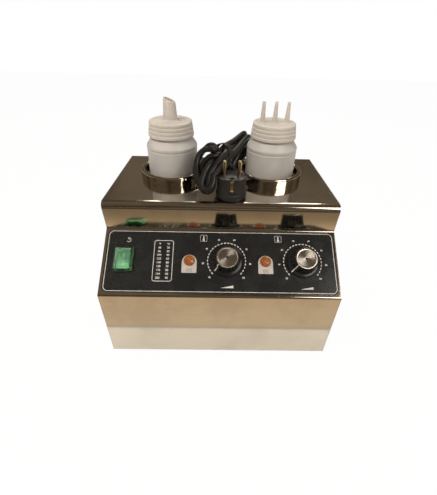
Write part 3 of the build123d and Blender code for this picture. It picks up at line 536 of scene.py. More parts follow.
def finish_table():
    """The finish of each material slot."""
    c = colours()
    return {
        "stainless_sheet": lambda n: brushed(n, c.steel, 0.09, smear=0.03),
        "side_sheet": lambda n: brushed(n, c.steel, 0.22, (0, 1, 0)),
        "polished_steel": lambda n: polished(n, c.polished, 0.06),
        "drawn_steel": lambda n: polished(n, shade(c.steel, 0.9), 0.26),
        "plated_steel": lambda n: polished(n, (0.60, 0.60, 0.58), 0.25),
        "foot_rubber": lambda n: moulded(n, (0.02, 0.02, 0.02), 0.75, relief=0.05),
        "overlay_print": lambda n: moulded(n, c.film, 0.26, 0.05, 1400.0, 0.004, 0.1),
        "switch_black": lambda n: moulded(n, (0.012, 0.012, 0.012), 0.32),
        "thermostat_case": lambda n: moulded(n, (0.04, 0.04, 0.045), 0.5),
        "nut_brass": lambda n: polished(n, (0.72, 0.60, 0.36), 0.25),
        "shaft_steel": lambda n: polished(n, (0.58, 0.57, 0.55), 0.25),
        "knob_black": lambda n: moulded(n, (0.010, 0.010, 0.010), 0.24, relief=0.006),
        "knob_aluminium": lambda n: polished(n, (0.72, 0.66, 0.58), 0.30, Anisotropic=0.85),
        "lamp_housing": lambda n: moulded(n, (0.03, 0.03, 0.03), 0.5),
        "heater_band": lambda n: brushed(n, (0.45, 0.42, 0.38), 0.35, (1, 0, 0)),
        "felt": lambda n: moulded(n, (0.72, 0.69, 0.62), 0.9, 0.05, 1500.0, 0.25, 0.06),
        "copper": lambda n: polished(n, (0.66, 0.36, 0.22), 0.28),
        "terminal_white": lambda n: moulded(n, (0.72, 0.70, 0.64), 0.5),
        "seal_silicone": lambda n: moulded(n, (0.62, 0.60, 0.58), 0.45),
        "cord_black": lambda n: moulded(n, c.sheath, 0.42, 0.08, 1200.0, 0.01),
        "plug_black": lambda n: moulded(n, shade(c.sheath, 1.3), 0.40, 0.08, 1000.0, 0.015),
        "pin_nickel": lambda n: polished(n, (0.80, 0.66, 0.42), 0.16),
        "gland_black": lambda n: moulded(n, (0.015, 0.015, 0.015), 0.5),
        "wire_sleeves": lambda n: moulded(n, (0.20, 0.09, 0.04), 0.45),
        "ink": lambda n: moulded(n, c.ink, 0.45, 0.05, 900.0, 0.003, 0.10),
        "plate_grey": lambda n: moulded(n, (0.40, 0.36, 0.32), 0.38, 0.05, 900.0, 0.004, 0.05),
        "dark_ink": lambda n: moulded(n, (0.02, 0.02, 0.02), 0.4),
        "mark_white": lambda n: moulded(n, (0.62, 0.66, 0.60), 0.4, 0.05, 900.0, 0.003, 0.05),
        "rocker_green": rocker_finish,
        "boot_clear": boot_finish,
        "lamp_amber": amber_finish,
        "bottle_natural": bottle_finish,
        "cap_natural": cap_finish,
    }


def finish(name):
    """A finish by the name of its slot, built the first time it is asked for."""
    return bpy.data.materials.get(f"finish_{name}") or finish_table()[name](f"finish_{name}")


def translucent(name, colour, rough, through, soft, low=None):
    """Natural polyethylene: milky, a little see-through, with faint flow marks."""
    material, tree, shader = new_finish(name)
    shader.inputs["Transmission Weight"].default_value = through
    shader.inputs["Subsurface Weight"].default_value = soft
    shader.inputs["Subsurface Scale"].default_value = 4 * MM
    shader.inputs["Subsurface Radius"].default_value = (1.0, 0.85, 0.7)
    shader.inputs["IOR"].default_value = 1.45
    vector = coordinates(tree)
    cloud = place_effect(tree, "smudges", vector, Scale=28.0, Threshold=0.40)
    flow = place_effect(tree, "grain", coordinates(tree, (1, 1, 0.15)), Scale=160.0, Detail=3.0)
    tone = mix_colours(tree, cloud, shade(colour, 0.97), shade(colour, 1.05))
    tree.links.new(tone, shader.inputs["Base Color"])
    tree.links.new(ramp_between(tree, cloud, rough, rough + 0.1), shader.inputs["Roughness"])
    add_bump(tree, shader, flow, 0.03)
    return material


def bottle_finish(name):
    return translucent(name, colours().bottle, 0.30, 0.28, 0.45)


def cap_finish(name):
    return translucent(name, colours().cap, 0.40, 0.05, 0.5)


def rocker_finish(name):
    """Green polycarbonate, dark inside."""
    material = moulded(name, colours().rocker, 0.22, 0.05, 600.0, 0.004, 0.25)
    shader = material.node_tree.nodes["Principled BSDF"]
    shader.inputs["Coat Weight"].default_value = 0.4
    return material


def boot_finish(name):
    """Clear vinyl."""
    material = moulded(name, (0.46, 0.78, 0.54), 0.04, 0.03, 300.0, 0.01, 0.03)
    shader = material.node_tree.nodes["Principled BSDF"]
    shader.inputs["Transmission Weight"].default_value = 1.0
    shader.inputs["IOR"].default_value = 1.38
    return material


def amber_finish(name):
    """Amber lens with a honeycomb of small facets behind its face, with a painted highlight at each facet's middle
    and painted shade at its edges.
    """
    material, tree, shader = new_finish(name, Roughness=0.18)
    shader.inputs["Transmission Weight"].default_value = 0.25
    shader.inputs["Coat Weight"].default_value = 0.6
    cells = tree.nodes.new("ShaderNodeTexVoronoi")
    cells.inputs["Scale"].default_value = 620
    tree.links.new(coordinates(tree), cells.inputs["Vector"])
    warm = colours().amber
    # Painted light: the colour is lighter at each facet's middle (painted highlight) and darker at its edges
    # (painted shade); the facets' bump below is real relief.
    tone = mix_colours(tree, cells.outputs["Distance"], shade(warm, 1.6), shade(warm, 0.35))
    tree.links.new(tone, shader.inputs["Base Color"])
    add_bump(tree, shader, cells.outputs["Distance"], 0.3)
    return material


# ---------------------------------------------------------------- operators
class WARMER_OT_cad_finishes(bpy.types.Operator):
    """Give every node of the frame the finish of its slot"""

    bl_idname = "warmer.cad_finishes"
    bl_label = "Finish the CAD pieces"

    def execute(self, context):
        for part in frame["record"]["subparts"]:
            slot = part["material_slot"]
            node = frame["nodes"][part["node"]]
            if part["node"].startswith("side_panel"):
                slot = "side_sheet"
            node.data.materials.clear()
            node.data.materials.append(finish(slot))
        return {"FINISHED"}


# ---------------------------------------------------------------- bottles, caps and wells
# Outlines are (radius, height above the top plate, corner radius) in millimetres.
BOTTLE_RADIUS = 34.8
BOTTLE_WALL = 1.4
BOTTLE_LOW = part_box("bottle_left")[0].z / MM - TOP_Z / MM
SHOULDER = 45.0
NECK_BASE = 54.0
NECK_TOP = 72.0
NECK_RADIUS = 27.0
NECK_WALL = 1.8
THREAD_DEPTH = 0.42
THREAD_SINK = 0.4  # how far its root lies in the neck
THREAD_LOW = NECK_TOP - 12.5
THREAD_LEAD = 4.2
THREAD_TURNS = 2
CAP_LOW = 56.5
CAP_TOP = 76.0
CAP_BASE_RADIUS = 31.0
CAP_TOP_RADIUS = 29.0
CAP_BORE = 27.6
CAP_CEILING = 74.0
CAP_DECK = 75.3
SPOUT_BASE = 9.35
SPOUT_TIP = 7.4
SPOUT_WALL = 1.6
SPOUT_TOP = 104.0
SPOUT_DROP = 6.0
NOZZLE_BASE = 3.5
NOZZLE_TIP = 2.0
NOZZLE_BORE = 1.1
NOZZLE_TOP = 101.0
NOZZLE_SPACING = 16.4
SEAL_HEIGHT = 72.5


def bottle_outline():
    """The wall of a bottle, outside up and inside down, with a bead under the shoulder."""
    inside = BOTTLE_RADIUS - BOTTLE_WALL
    bore = NECK_RADIUS - NECK_WALL
    return [
        (0, BOTTLE_LOW + 3, 0),
        (BOTTLE_RADIUS - 9, BOTTLE_LOW, 6),
        (BOTTLE_RADIUS, BOTTLE_LOW, 4),
        (BOTTLE_RADIUS, SHOULDER - 5.6, 0),
        (BOTTLE_RADIUS - 0.45, SHOULDER - 5.0, 0.3),
        (BOTTLE_RADIUS - 0.45, SHOULDER - 3.8, 0.3),
        (BOTTLE_RADIUS, SHOULDER - 3.2, 0.3),
        (BOTTLE_RADIUS, SHOULDER, 2.6),
        (NECK_RADIUS + 1.5, NECK_BASE, 1),
        (NECK_RADIUS, NECK_BASE + 1.5, 0.5),
        (NECK_RADIUS, NECK_TOP, 0.4),
        (bore, NECK_TOP, 0.4),
        (bore, NECK_BASE, 1),
        (inside, SHOULDER - 1, 4),
        (inside, BOTTLE_LOW + BOTTLE_WALL, 3),
        (inside - 8, BOTTLE_LOW + BOTTLE_WALL, 6),
        (0, BOTTLE_LOW + 3 + BOTTLE_WALL, 0),
    ]


def neck_thread():
    """A two-turn raised thread round the neck."""
    root, crest = NECK_RADIUS - THREAD_SINK, NECK_RADIUS + THREAD_DEPTH
    corners = [(root, 0), (crest, 0.7), (crest, 1.3), (root, 2), (root, 0)]
    piece = draw_line([Vector((r, 0, THREAD_LOW + z)) * MM for r, z in corners], closed=True)
    bpy.ops.object.mode_set(mode="OBJECT")
    turn = piece.modifiers.new("thread", "SCREW")
    turn.angle = THREAD_TURNS * 2 * pi
    turn.screw_offset = THREAD_TURNS * THREAD_LEAD * MM
    turn.steps = turn.render_steps = THREAD_TURNS * sizes().turned_steps
    bpy.ops.object.modifier_apply(modifier=turn.name)
    bpy.ops.object.mode_set(mode="EDIT")
    bpy.ops.mesh.select_all(action="SELECT")
    bpy.ops.mesh.fill_holes(sides=0)
    bpy.ops.mesh.select_all(action="SELECT")
    bpy.ops.mesh.normals_make_consistent(inside=False)
    bpy.ops.object.mode_set(mode="OBJECT")
    return piece


class WARMER_OT_bottles(bpy.types.Operator):
    """Two squeeze bottles with their threaded necks and sealing rings"""

    bl_idname = "warmer.bottles"
    bl_label = "Bottles"

    def execute(self, context):
        bottle = join([turn_outline(bottle_outline()), neck_thread()])
        low, high = SEAL_HEIGHT, SEAL_HEIGHT + 1.0
        ring = [(22.0, low, 0.2), (CAP_BORE - 0.3, low, 0.2), (CAP_BORE - 0.3, high, 0.2), (22.0, high, 0.2)]
        seal = turn_outline(ring, closed=True, fillet_steps=2)
        for side in SIDES:
            body = copy_of(bottle)
            place_piece(body, well_place(side))
            finish_piece(
                body, f"squeeze_bottle_{side}", f"bottle_{side}", finish("bottle_natural"),
                [f"bottle_{side}"],
            )
            gasket = copy_of(seal)
            place_piece(gasket, well_place(side))
            finish_piece(
                gasket, f"sealing_ring_{side}", f"cap_seal_{side}", finish("seal_silicone"),
                [f"cap_seal_{side}"],
            )
        bpy.data.objects.remove(bottle)
        bpy.data.objects.remove(seal)
        return {"FINISHED"}


def cap_skirt():
    """The stepped outside of a cap, from its lower rim up to its deck."""
    steps = 4
    rise = (CAP_TOP - CAP_LOW) / steps
    shrink = (CAP_BASE_RADIUS - CAP_TOP_RADIUS) / (steps - 1)
    outline = [(CAP_BORE, CAP_CEILING, 0.6), (CAP_BORE, CAP_LOW, 0.3)]
    for index in range(steps):
        radius = CAP_BASE_RADIUS - index * shrink
        low = CAP_LOW + index * rise
        outline += [
            (radius - 0.45, low, 0.1),
            (radius, low + 0.9, 0.5),
            (radius - 0.1, low + rise - 1.1, 0.5),
            (radius - 0.75, low + rise - 0.35, 0.15),
        ]
    outline[-1] = (CAP_TOP_RADIUS - 0.5, CAP_TOP - 0.5, 0.4)
    outline += [
        (CAP_TOP_RADIUS - 1.6, CAP_TOP, 0.5),
        (CAP_TOP_RADIUS - 3.6, CAP_TOP, 0.5),
        (CAP_TOP_RADIUS - 5.0, CAP_DECK, 0.6),
    ]
    return outline


class WARMER_OT_caps(bpy.types.Operator):
    """The stepped caps: one with a slanted spout, one with three nozzles"""

    bl_idname = "warmer.caps"
    bl_label = "Caps"

    def execute(self, context):
        cap = self.spout_cap()
        place_piece(cap, well_place("left"))
        finish_piece(cap, "spout_cap", "cap_left", finish("cap_natural"), ["cap_left"])
        cap = self.nozzle_cap()
        place_piece(cap, well_place("right"))
        finish_piece(cap, "nozzle_cap", "cap_right", finish("cap_natural"), ["cap_right"])
        return {"FINISHED"}

    def spout_cap(self):
        outline = [(SPOUT_BASE - SPOUT_WALL, CAP_CEILING, 0.4)]
        outline += cap_skirt()
        outline += [
            (SPOUT_BASE + 2.2, CAP_DECK, 0.6),
            (SPOUT_BASE + 0.2, CAP_DECK + 2.2, 3.0),
            (SPOUT_TIP, SPOUT_TOP + 1, 0),
            (SPOUT_TIP - SPOUT_WALL, SPOUT_TOP + 1, 0),
        ]
        cap = turn_outline(outline, closed=True)
        slant = atan2(SPOUT_DROP, 2 * SPOUT_TIP)
        bpy.ops.object.mode_set(mode="EDIT")
        bpy.ops.mesh.select_all(action="SELECT")
        bpy.ops.mesh.bisect(
            plane_co=mm(-SPOUT_TIP, 0, SPOUT_TOP), plane_no=(sin(slant), 0, cos(slant)), use_fill=True,
            clear_outer=True,
        )
        bpy.ops.object.mode_set(mode="OBJECT")
        return cap

    def nozzle_cap(self):
        cap = turn_outline([(0, CAP_CEILING, 0), *cap_skirt(), (0, CAP_DECK, 0)])
        nozzle = [
            (0, CAP_CEILING + 0.3, 0),
            (NOZZLE_BASE + 1.4, CAP_CEILING + 0.3, 0),
            (NOZZLE_BASE + 1.4, CAP_DECK + 0.05, 0),
            (NOZZLE_BASE + 0.2, CAP_DECK + 1.2, 1.2),
            (NOZZLE_BASE - 0.1, CAP_DECK + 3.0, 2.0),
            (NOZZLE_TIP, NOZZLE_TOP, 0.4),
            (0, NOZZLE_TOP, 0),
        ]
        bore = [
            (0, CAP_CEILING - 1, 0),
            (NOZZLE_BORE * 1.8, CAP_CEILING - 1, 0),
            (NOZZLE_BORE, NOZZLE_TOP + 1, 0),
            (0, NOZZLE_TOP + 1, 0),
        ]
        for place in (-1, 0, 1):
            tube = turn_outline(nozzle, steps=32)
            place_piece(tube, mm(place * NOZZLE_SPACING, 0, 0))
            select_only(cap)
            change = cap.modifiers.new("nozzle", "BOOLEAN")
            change.operation = "UNION"
            change.solver = "EXACT"
            change.object = tube
            bpy.ops.object.modifier_apply(modifier=change.name)
            bpy.data.objects.remove(tube)
            drill = turn_outline(bore, steps=24)
            place_piece(drill, mm(place * NOZZLE_SPACING, 0, 0))
            cut(cap, drill)
        return cap


# The wells and their collars: (radius, height above the top plate, corner radius).
WELL_OUTER = 40.5
WELL_INNER = 39.5
WELL_DEPTH = 127.0
WELL_FLANGE = 44.2
COLLAR_INNER = 40.0
COLLAR_OUTER = 46.5
COLLAR_HEIGHT = 12.7
COLLAR_ROUND = 3.0


class WARMER_OT_wells(bpy.types.Operator):
    """Deep-drawn wells and the polished collars on the top plate"""

    bl_idname = "warmer.wells"
    bl_label = "Wells and collars"

    def execute(self, context):
        pot = turn_outline(
            [
                (0, -WELL_DEPTH - 1, 0),
                (WELL_OUTER, -WELL_DEPTH - 1, 5),
                (WELL_OUTER, 0, 0.2),
                (WELL_FLANGE, 0, 0.2),
                (WELL_FLANGE, 1, 0.2),
                (WELL_INNER, 1, 0.4),
                (WELL_INNER, -WELL_DEPTH, 4),
                (0, -WELL_DEPTH, 0),
            ]
        )
        room = WELL_FLANGE + 0.05
        ring = turn_outline(
            [
                (COLLAR_INNER, 1, 0.2),
                (room, 1, 0.1),
                (room, 0, 0),
                (COLLAR_OUTER, 0, 0.3),
                (COLLAR_OUTER, COLLAR_HEIGHT, COLLAR_ROUND),
                (COLLAR_INNER, COLLAR_HEIGHT, COLLAR_ROUND),
            ],
            closed=True,
            fillet_steps=9,
        )
        for side in SIDES:
            lining = copy_of(pot)
            place_piece(lining, well_place(side))
            finish_piece(
                lining, f"drawn_well_{side}", "case", finish("drawn_steel"), [f"well_{side}"]
            )
            collar = copy_of(ring)
            place_piece(collar, well_place(side))
            finish_piece(
                collar, f"well_collar_{side}", "case", finish("polished_steel"),
                [f"collar_{side}"],
            )
        bpy.data.objects.remove(pot)
        bpy.data.objects.remove(ring)
        return {"FINISHED"}


# ---------------------------------------------------------------- the control panel
KNOB_LIFT = 1.3
KNOB_SKIRT = 20.5
KNOB_ROOT = 16.6
KNOB_TOP = 14.4
KNOB_HEIGHT = 17.4
KNOB_FLUTES = 20
KNOB_GRIP_LOW = 2.9
FLUTE_STEPS = ((2.5, 0.2), (1.5, 0.6), (0.5, 0.4))  # (reach in eighths of the pitch, further depth)
DISC_RADIUS = 13.4
DISC_SEAT = 16.9
POINTER_ANGLE = radians(221)
POINTER_WIDTH = 1.1
POINTER_THICKNESS = 0.12


def ribbon(points, width, thickness):
    """A thin strip of (along X, height) points, as wide along Y as asked."""
    piece = draw_line([Vector((x, -width / 2, z)) * MM for x, z in points])
    bpy.ops.mesh.select_all(action="SELECT")
    bpy.ops.mesh.extrude_region_move(TRANSFORM_OT_translate={"value": (0, width * MM, 0)})
    bpy.ops.object.mode_set(mode="OBJECT")
    change = piece.modifiers.new("thick", "SOLIDIFY")
    change.thickness = thickness * MM
    change.offset = 0
    bpy.ops.object.modifier_apply(modifier=change.name)
    return piece


class WARMER_OT_knobs(bpy.types.Operator):
    """Fluted, skirted knobs with spun discs and white pointers"""

    bl_idname = "warmer.knobs"
    bl_label = "Knobs"

    def execute(self, context):
        grip = self.grip()
        skirt = turn_outline(
            [
                (0, 0, 0),
                (KNOB_SKIRT, 0, 0.6),
                (KNOB_SKIRT, 1.7, 0.5),
                (KNOB_SKIRT - 1.2, 2.4, 0.6),
                (KNOB_ROOT + 0.3, 3.0, 0.8),
                (KNOB_ROOT - 1.4, 4.4, 0),
                (0, 4.4, 0),
            ]
        )
        knob = join([skirt, grip])
        face = turn_outline(
            [
                (0, DISC_SEAT, 0),
                (DISC_RADIUS, DISC_SEAT, 0.1),
                (DISC_RADIUS, DISC_SEAT + 0.9, 0.3),
                (DISC_RADIUS - 1.4, DISC_SEAT + 1.0, 0.4),
                (DISC_RADIUS - 2.6, DISC_SEAT + 0.75, 0.4),
                (2.0, DISC_SEAT + 0.62, 0.4),
                (0, DISC_SEAT + 0.3, 0),
            ]
        )
        pointer = ribbon(
            [
                (KNOB_SKIRT + 0.05, 1.3),
                (KNOB_SKIRT - 0.35, 1.95),
                (KNOB_SKIRT - 1.2, 2.48),
                (KNOB_ROOT + 0.4, 3.08),
                (KNOB_ROOT + 0.1, 3.5),
                (KNOB_TOP + 0.1, KNOB_HEIGHT - 0.9),
                (KNOB_TOP - 0.7, KNOB_HEIGHT + 0.05),
            ],
            POINTER_WIDTH,
            POINTER_THICKNESS,
        )
        for side in SIDES:
            place = on_panel(DIAL_X[side], CONTROL_HEIGHT, KNOB_LIFT)
            for piece, name, slot, extra in (
                (knob, "fluted_knob", "knob_black", [f"knob_{side}"]),
                (face, "spun_disc", "knob_aluminium", [f"knob_disc_{side}"]),
                (pointer, "knob_pointer", "ink", []),
            ):
                twin = copy_of(piece)
                spin = POINTER_ANGLE if piece == pointer else 0
                place_piece(twin, place, tilt=PANEL_TILT, spin=spin)
                finish_piece(twin, f"{name}_{side}", f"knob_{side}", finish(slot), extra)
        for piece in (knob, face, pointer):
            bpy.data.objects.remove(piece)
        return {"FINISHED"}

    def grip(self):
        """A tapering grip with flutes, closed at both ends."""
        select_only(None)
        bpy.ops.mesh.primitive_circle_add(vertices=KNOB_FLUTES * 8, radius=KNOB_ROOT * MM, fill_type="NGON")
        piece = bpy.context.object
        bpy.ops.object.mode_set(mode="EDIT")
        bpy.ops.mesh.select_all(action="SELECT")
        bpy.ops.transform.translate(value=(0, 0, KNOB_GRIP_LOW * MM))
        radius = KNOB_ROOT
        for reach, depth in FLUTE_STEPS:
            pick(piece, lambda place: self.flute_offset(place) < reach)
            ratio = (radius - depth) / radius
            bpy.ops.transform.resize(value=(ratio, ratio, 1), center_override=(0, 0, 0))
            radius -= depth
        bpy.ops.mesh.select_all(action="SELECT")
        bpy.ops.mesh.extrude_region_move()
        last = KNOB_GRIP_LOW, KNOB_ROOT
        rings = (
            (KNOB_HEIGHT - 0.8, KNOB_TOP),
            (KNOB_HEIGHT - 0.3, KNOB_TOP - 0.2),
            (KNOB_HEIGHT, KNOB_TOP - 0.6),
        )
        for height, radius in rings:
            if last[0] > KNOB_GRIP_LOW:
                bpy.ops.mesh.extrude_region_move()
            bpy.ops.transform.translate(value=(0, 0, (height - last[0]) * MM))
            ratio = radius / last[1]
            bpy.ops.transform.resize(value=(ratio, ratio, 1), center_override=(0, 0, 0))
            last = height, radius
        bpy.ops.mesh.select_all(action="SELECT")
        bpy.ops.mesh.fill_holes(sides=0)
        bpy.ops.mesh.select_all(action="SELECT")
        bpy.ops.mesh.normals_make_consistent(inside=False)
        bpy.ops.object.mode_set(mode="OBJECT")
        return piece

    def flute_offset(self, place):
        """How far a place is from the middle of its flute, in eighths of the pitch."""
        turn = degrees(atan2(place.y, place.x)) / (360 / KNOB_FLUTES) - 0.5
        return abs(turn - round(turn)) * 8


BEZEL_TOP = 3.1
BOOT_WIDTH = 23.6
BOOT_LENGTH = 31.1
BOOT_HEIGHT = 6.2
BOOT_WALL = 0.8
ROCKER_WIDTH = 17.6
ROCKER_HALF = 11.4
ROCKER_END = 5.0
ROCKER_DIP = 3.4
ROCKER_PIVOT = -1.0
ROCKER_REST = radians(10)
MARK_HIGH = 5.4
MARK_LOW = -4.6


class WARMER_OT_switch(bpy.types.Operator):
    """The green rocker with its marks, and the clear splash cover"""

    bl_idname = "warmer.switch"
    bl_label = "Power switch"

    def execute(self, context):
        place = on_panel(SWITCH_X, CONTROL_HEIGHT, ROCKER_PIVOT)
        rocker = self.rocker()
        place_piece(rocker, place, tilt=PANEL_TILT + ROCKER_REST)
        finish_piece(
            rocker, "lit_rocker", "rocker", finish("rocker_green"), ["power_rocker"]
        )
        marks = self.marks()
        place_piece(marks, place, tilt=PANEL_TILT + ROCKER_REST)
        finish_piece(marks, "rocker_marks", "rocker", finish("mark_white"))
        boot = self.boot()
        place_piece(boot, on_panel(SWITCH_X, CONTROL_HEIGHT, BEZEL_TOP), tilt=PANEL_TILT)
        finish_piece(boot, "splash_cover", "case", finish("boot_clear"), ["switch_boot"])
        return {"FINISHED"}

    def crown(self, y):
        """Height of the rocker's hollow face above its pivot, at a distance from its middle."""
        sag = ROCKER_END - ROCKER_DIP
        radius = (ROCKER_HALF**2 + sag**2) / (2 * sag)
        return ROCKER_DIP + radius - sqrt(radius**2 - y**2)

    def rocker(self):
        outline = []
        for step in range(17):
            y = -ROCKER_HALF + 2 * ROCKER_HALF * step / 16
            outline.append(Vector((-ROCKER_WIDTH / 2, y, self.crown(y))) * MM)
        for y, z in ((ROCKER_HALF - 1.4, -3), (3, -6), (-3, -6), (1.4 - ROCKER_HALF, -3)):
            outline.append(Vector((-ROCKER_WIDTH / 2, y, z)) * MM)
        piece = draw_line([*outline, outline[0]], closed=True)
        bpy.ops.mesh.edge_face_add()
        bpy.ops.mesh.extrude_region_move(TRANSFORM_OT_translate={"value": (ROCKER_WIDTH * MM, 0, 0)})
        bpy.ops.mesh.select_all(action="SELECT")
        bpy.ops.mesh.normals_make_consistent(inside=False)
        bpy.ops.object.mode_set(mode="OBJECT")
        return bevel(piece, 0.55, 3, 40)

    def marks(self):
        bar = extrude_outline(rectangle(0.9, 4.4, 0.3), 0.12)
        place_piece(bar, mm(0, MARK_HIGH, self.crown(MARK_HIGH) - 0.02), tilt=self.slope(MARK_HIGH))
        ring = turn_outline([(1.35, 0, 0), (2.15, 0, 0), (2.15, 0.12, 0), (1.35, 0.12, 0)], True, 32)
        place_piece(ring, mm(0, MARK_LOW, self.crown(MARK_LOW) - 0.02), tilt=self.slope(MARK_LOW))
        return join([bar, ring])

    def slope(self, y):
        """Tilt of the rocker's face at a distance from its middle."""
        step = 0.1
        return atan2(self.crown(y + step) - self.crown(y - step), 2 * step)

    def boot(self):
        corners = rectangle(BOOT_WIDTH, BOOT_LENGTH, 2.4)
        piece = extrude_outline(corners, BOOT_HEIGHT)
        pick(piece, lambda place: place.z > BOOT_HEIGHT / 2)
        shrink = 2 * BOOT_HEIGHT * tan(radians(8))
        bpy.ops.transform.resize(
            value=((BOOT_WIDTH - shrink) / BOOT_WIDTH, (BOOT_LENGTH - shrink) / BOOT_LENGTH, 1),
            center_override=(0, 0, 0),
        )
        pick_faces(piece, lambda place, normal: normal.z < -0.9)
        bpy.ops.mesh.delete(type="FACE")
        bpy.ops.object.mode_set(mode="OBJECT")
        bevel(piece, 1.6, 4, 60)
        change = piece.modifiers.new("wall", "SOLIDIFY")
        change.thickness = BOOT_WALL * MM
        change.offset = -1
        bpy.ops.object.modifier_apply(modifier=change.name)
        return piece


class WARMER_OT_lamps(bpy.types.Operator):
    """The amber lenses on their pale arched plates"""

    bl_idname = "warmer.lamps"
    bl_label = "Indicator lamps"

    def execute(self, context):
        lens = turn_outline(
            [
                (0, 0, 0),
                (7.0, 0, 0.1),
                (7.0, 1.2, 0.4),
                (6.4, 1.2, 0.15),
                (5.7, 3.7, 1.3),
                (3.4, 4.8, 3.0),
                (0, 5.0, 0),
            ],
            steps=64,
        )
        for side in SIDES:
            twin = copy_of(lens)
            place = on_panel(DIAL_X[side] + LAMP_OFFSET, CONTROL_HEIGHT, FILM)
            place_piece(twin, place, tilt=PANEL_TILT)
            finish_piece(
                twin, f"amber_lens_{side}", "case", finish("lamp_amber"), [f"lamp_lens_{side}"]
            )
        bpy.data.objects.remove(lens)
        return {"FINISHED"}


# Where the print lies on the film, in millimetres across and up the slope.
PRINT_DEPTH = 0.05
FILM_FRAME = {"width": 290.6, "height": 79.2, "radius": 6.2, "x": 0.4, "y": 45.4}
TABLE_FRAME = {"width": 24.9, "height": 54.1, "radius": 3.2, "x": -73.2, "y": 45.6}
TABLE_COLUMNS = (-78.6, -67.6)
TABLE_TOP = 67.6
TABLE_PITCH = 4.95
UNIT_SIZE = 3.4
FIGURE_SIZE = 3.7
DIAL_FIGURE_SIZE = 3.0
TABLE_ROWS = (
    (68, 20), (86, 30), (104, 40), (122, 50), (140, 60), (158, 70), (176, 80), (194, 90), (203, 95),
)
DIAL_ARC = 24.2
DIAL_SWEEP = 262.0
DIAL_DASHES = 26
DASH_SHARE = 0.62  # of the pitch
DASH_WIDTH = 1.25
DIAL_NUMBERS = (20, 30, 40, 50, 60, 70, 80, 90)
NUMBER_RADIUS = 30.2
ICON_PLACES = ((-22.4, 76.2), (74.5, 76.5))
RAMP_HALF = 8
RAMP_PLACES = ((8.0, 12.6), (107.7, 12.0))
POWER_PLACE = (-119.0, 72.5)
LAMP_PLATE = {"width": 18.8, "low": 29.9, "high": 53.5}


def flat_ring(outer, inner, x=0.0, y=0.0, steps=32):
    """A flat printed ring."""
    piece = turn_outline(
        [(inner, 0, 0), (outer, 0, 0), (outer, PRINT_DEPTH, 0), (inner, PRINT_DEPTH, 0)], True, steps
    )
    return place_piece(piece, mm(x, y, 0))


def line_frame(width, height, radius, x, y, line):
    """A rounded frame of one printed line."""
    outline = [Vector((p.x, p.y, 0)) * MM for p in rounded(rectangle(width, height, radius, x, y), 8, True)]
    piece = draw_line(outline, closed=True)
    bpy.ops.mesh.edge_face_add()
    bpy.ops.mesh.select_mode(type="FACE")
    bpy.ops.mesh.select_all(action="SELECT")
    bpy.ops.mesh.inset(thickness=line)
    bpy.ops.mesh.delete(type="FACE")
    bpy.ops.mesh.select_all(action="SELECT")
    bpy.ops.mesh.extrude_region_move(TRANSFORM_OT_translate={"value": (0, 0, PRINT_DEPTH * MM)})
    bpy.ops.mesh.select_all(action="SELECT")
    bpy.ops.mesh.normals_make_consistent(inside=False)
    bpy.ops.object.mode_set(mode="OBJECT")
    return piece


def write(words, size, x, y):
    """Printed figures, centred on a place."""
    select_only(None)
    bpy.ops.object.text_add(location=mm(x, y, 0))
    piece = bpy.context.object
    piece.data.body = words
    piece.data.size = size * MM
    piece.data.align_x = "CENTER"
    piece.data.align_y = "CENTER"
    piece.data.resolution_u = 3
    piece.data.extrude = PRINT_DEPTH / 2 * MM
    piece.data.offset = 0.1 * MM
    bpy.ops.object.convert(target="MESH")
    bpy.ops.object.transform_apply(location=True, rotation=True, scale=True)
    return piece


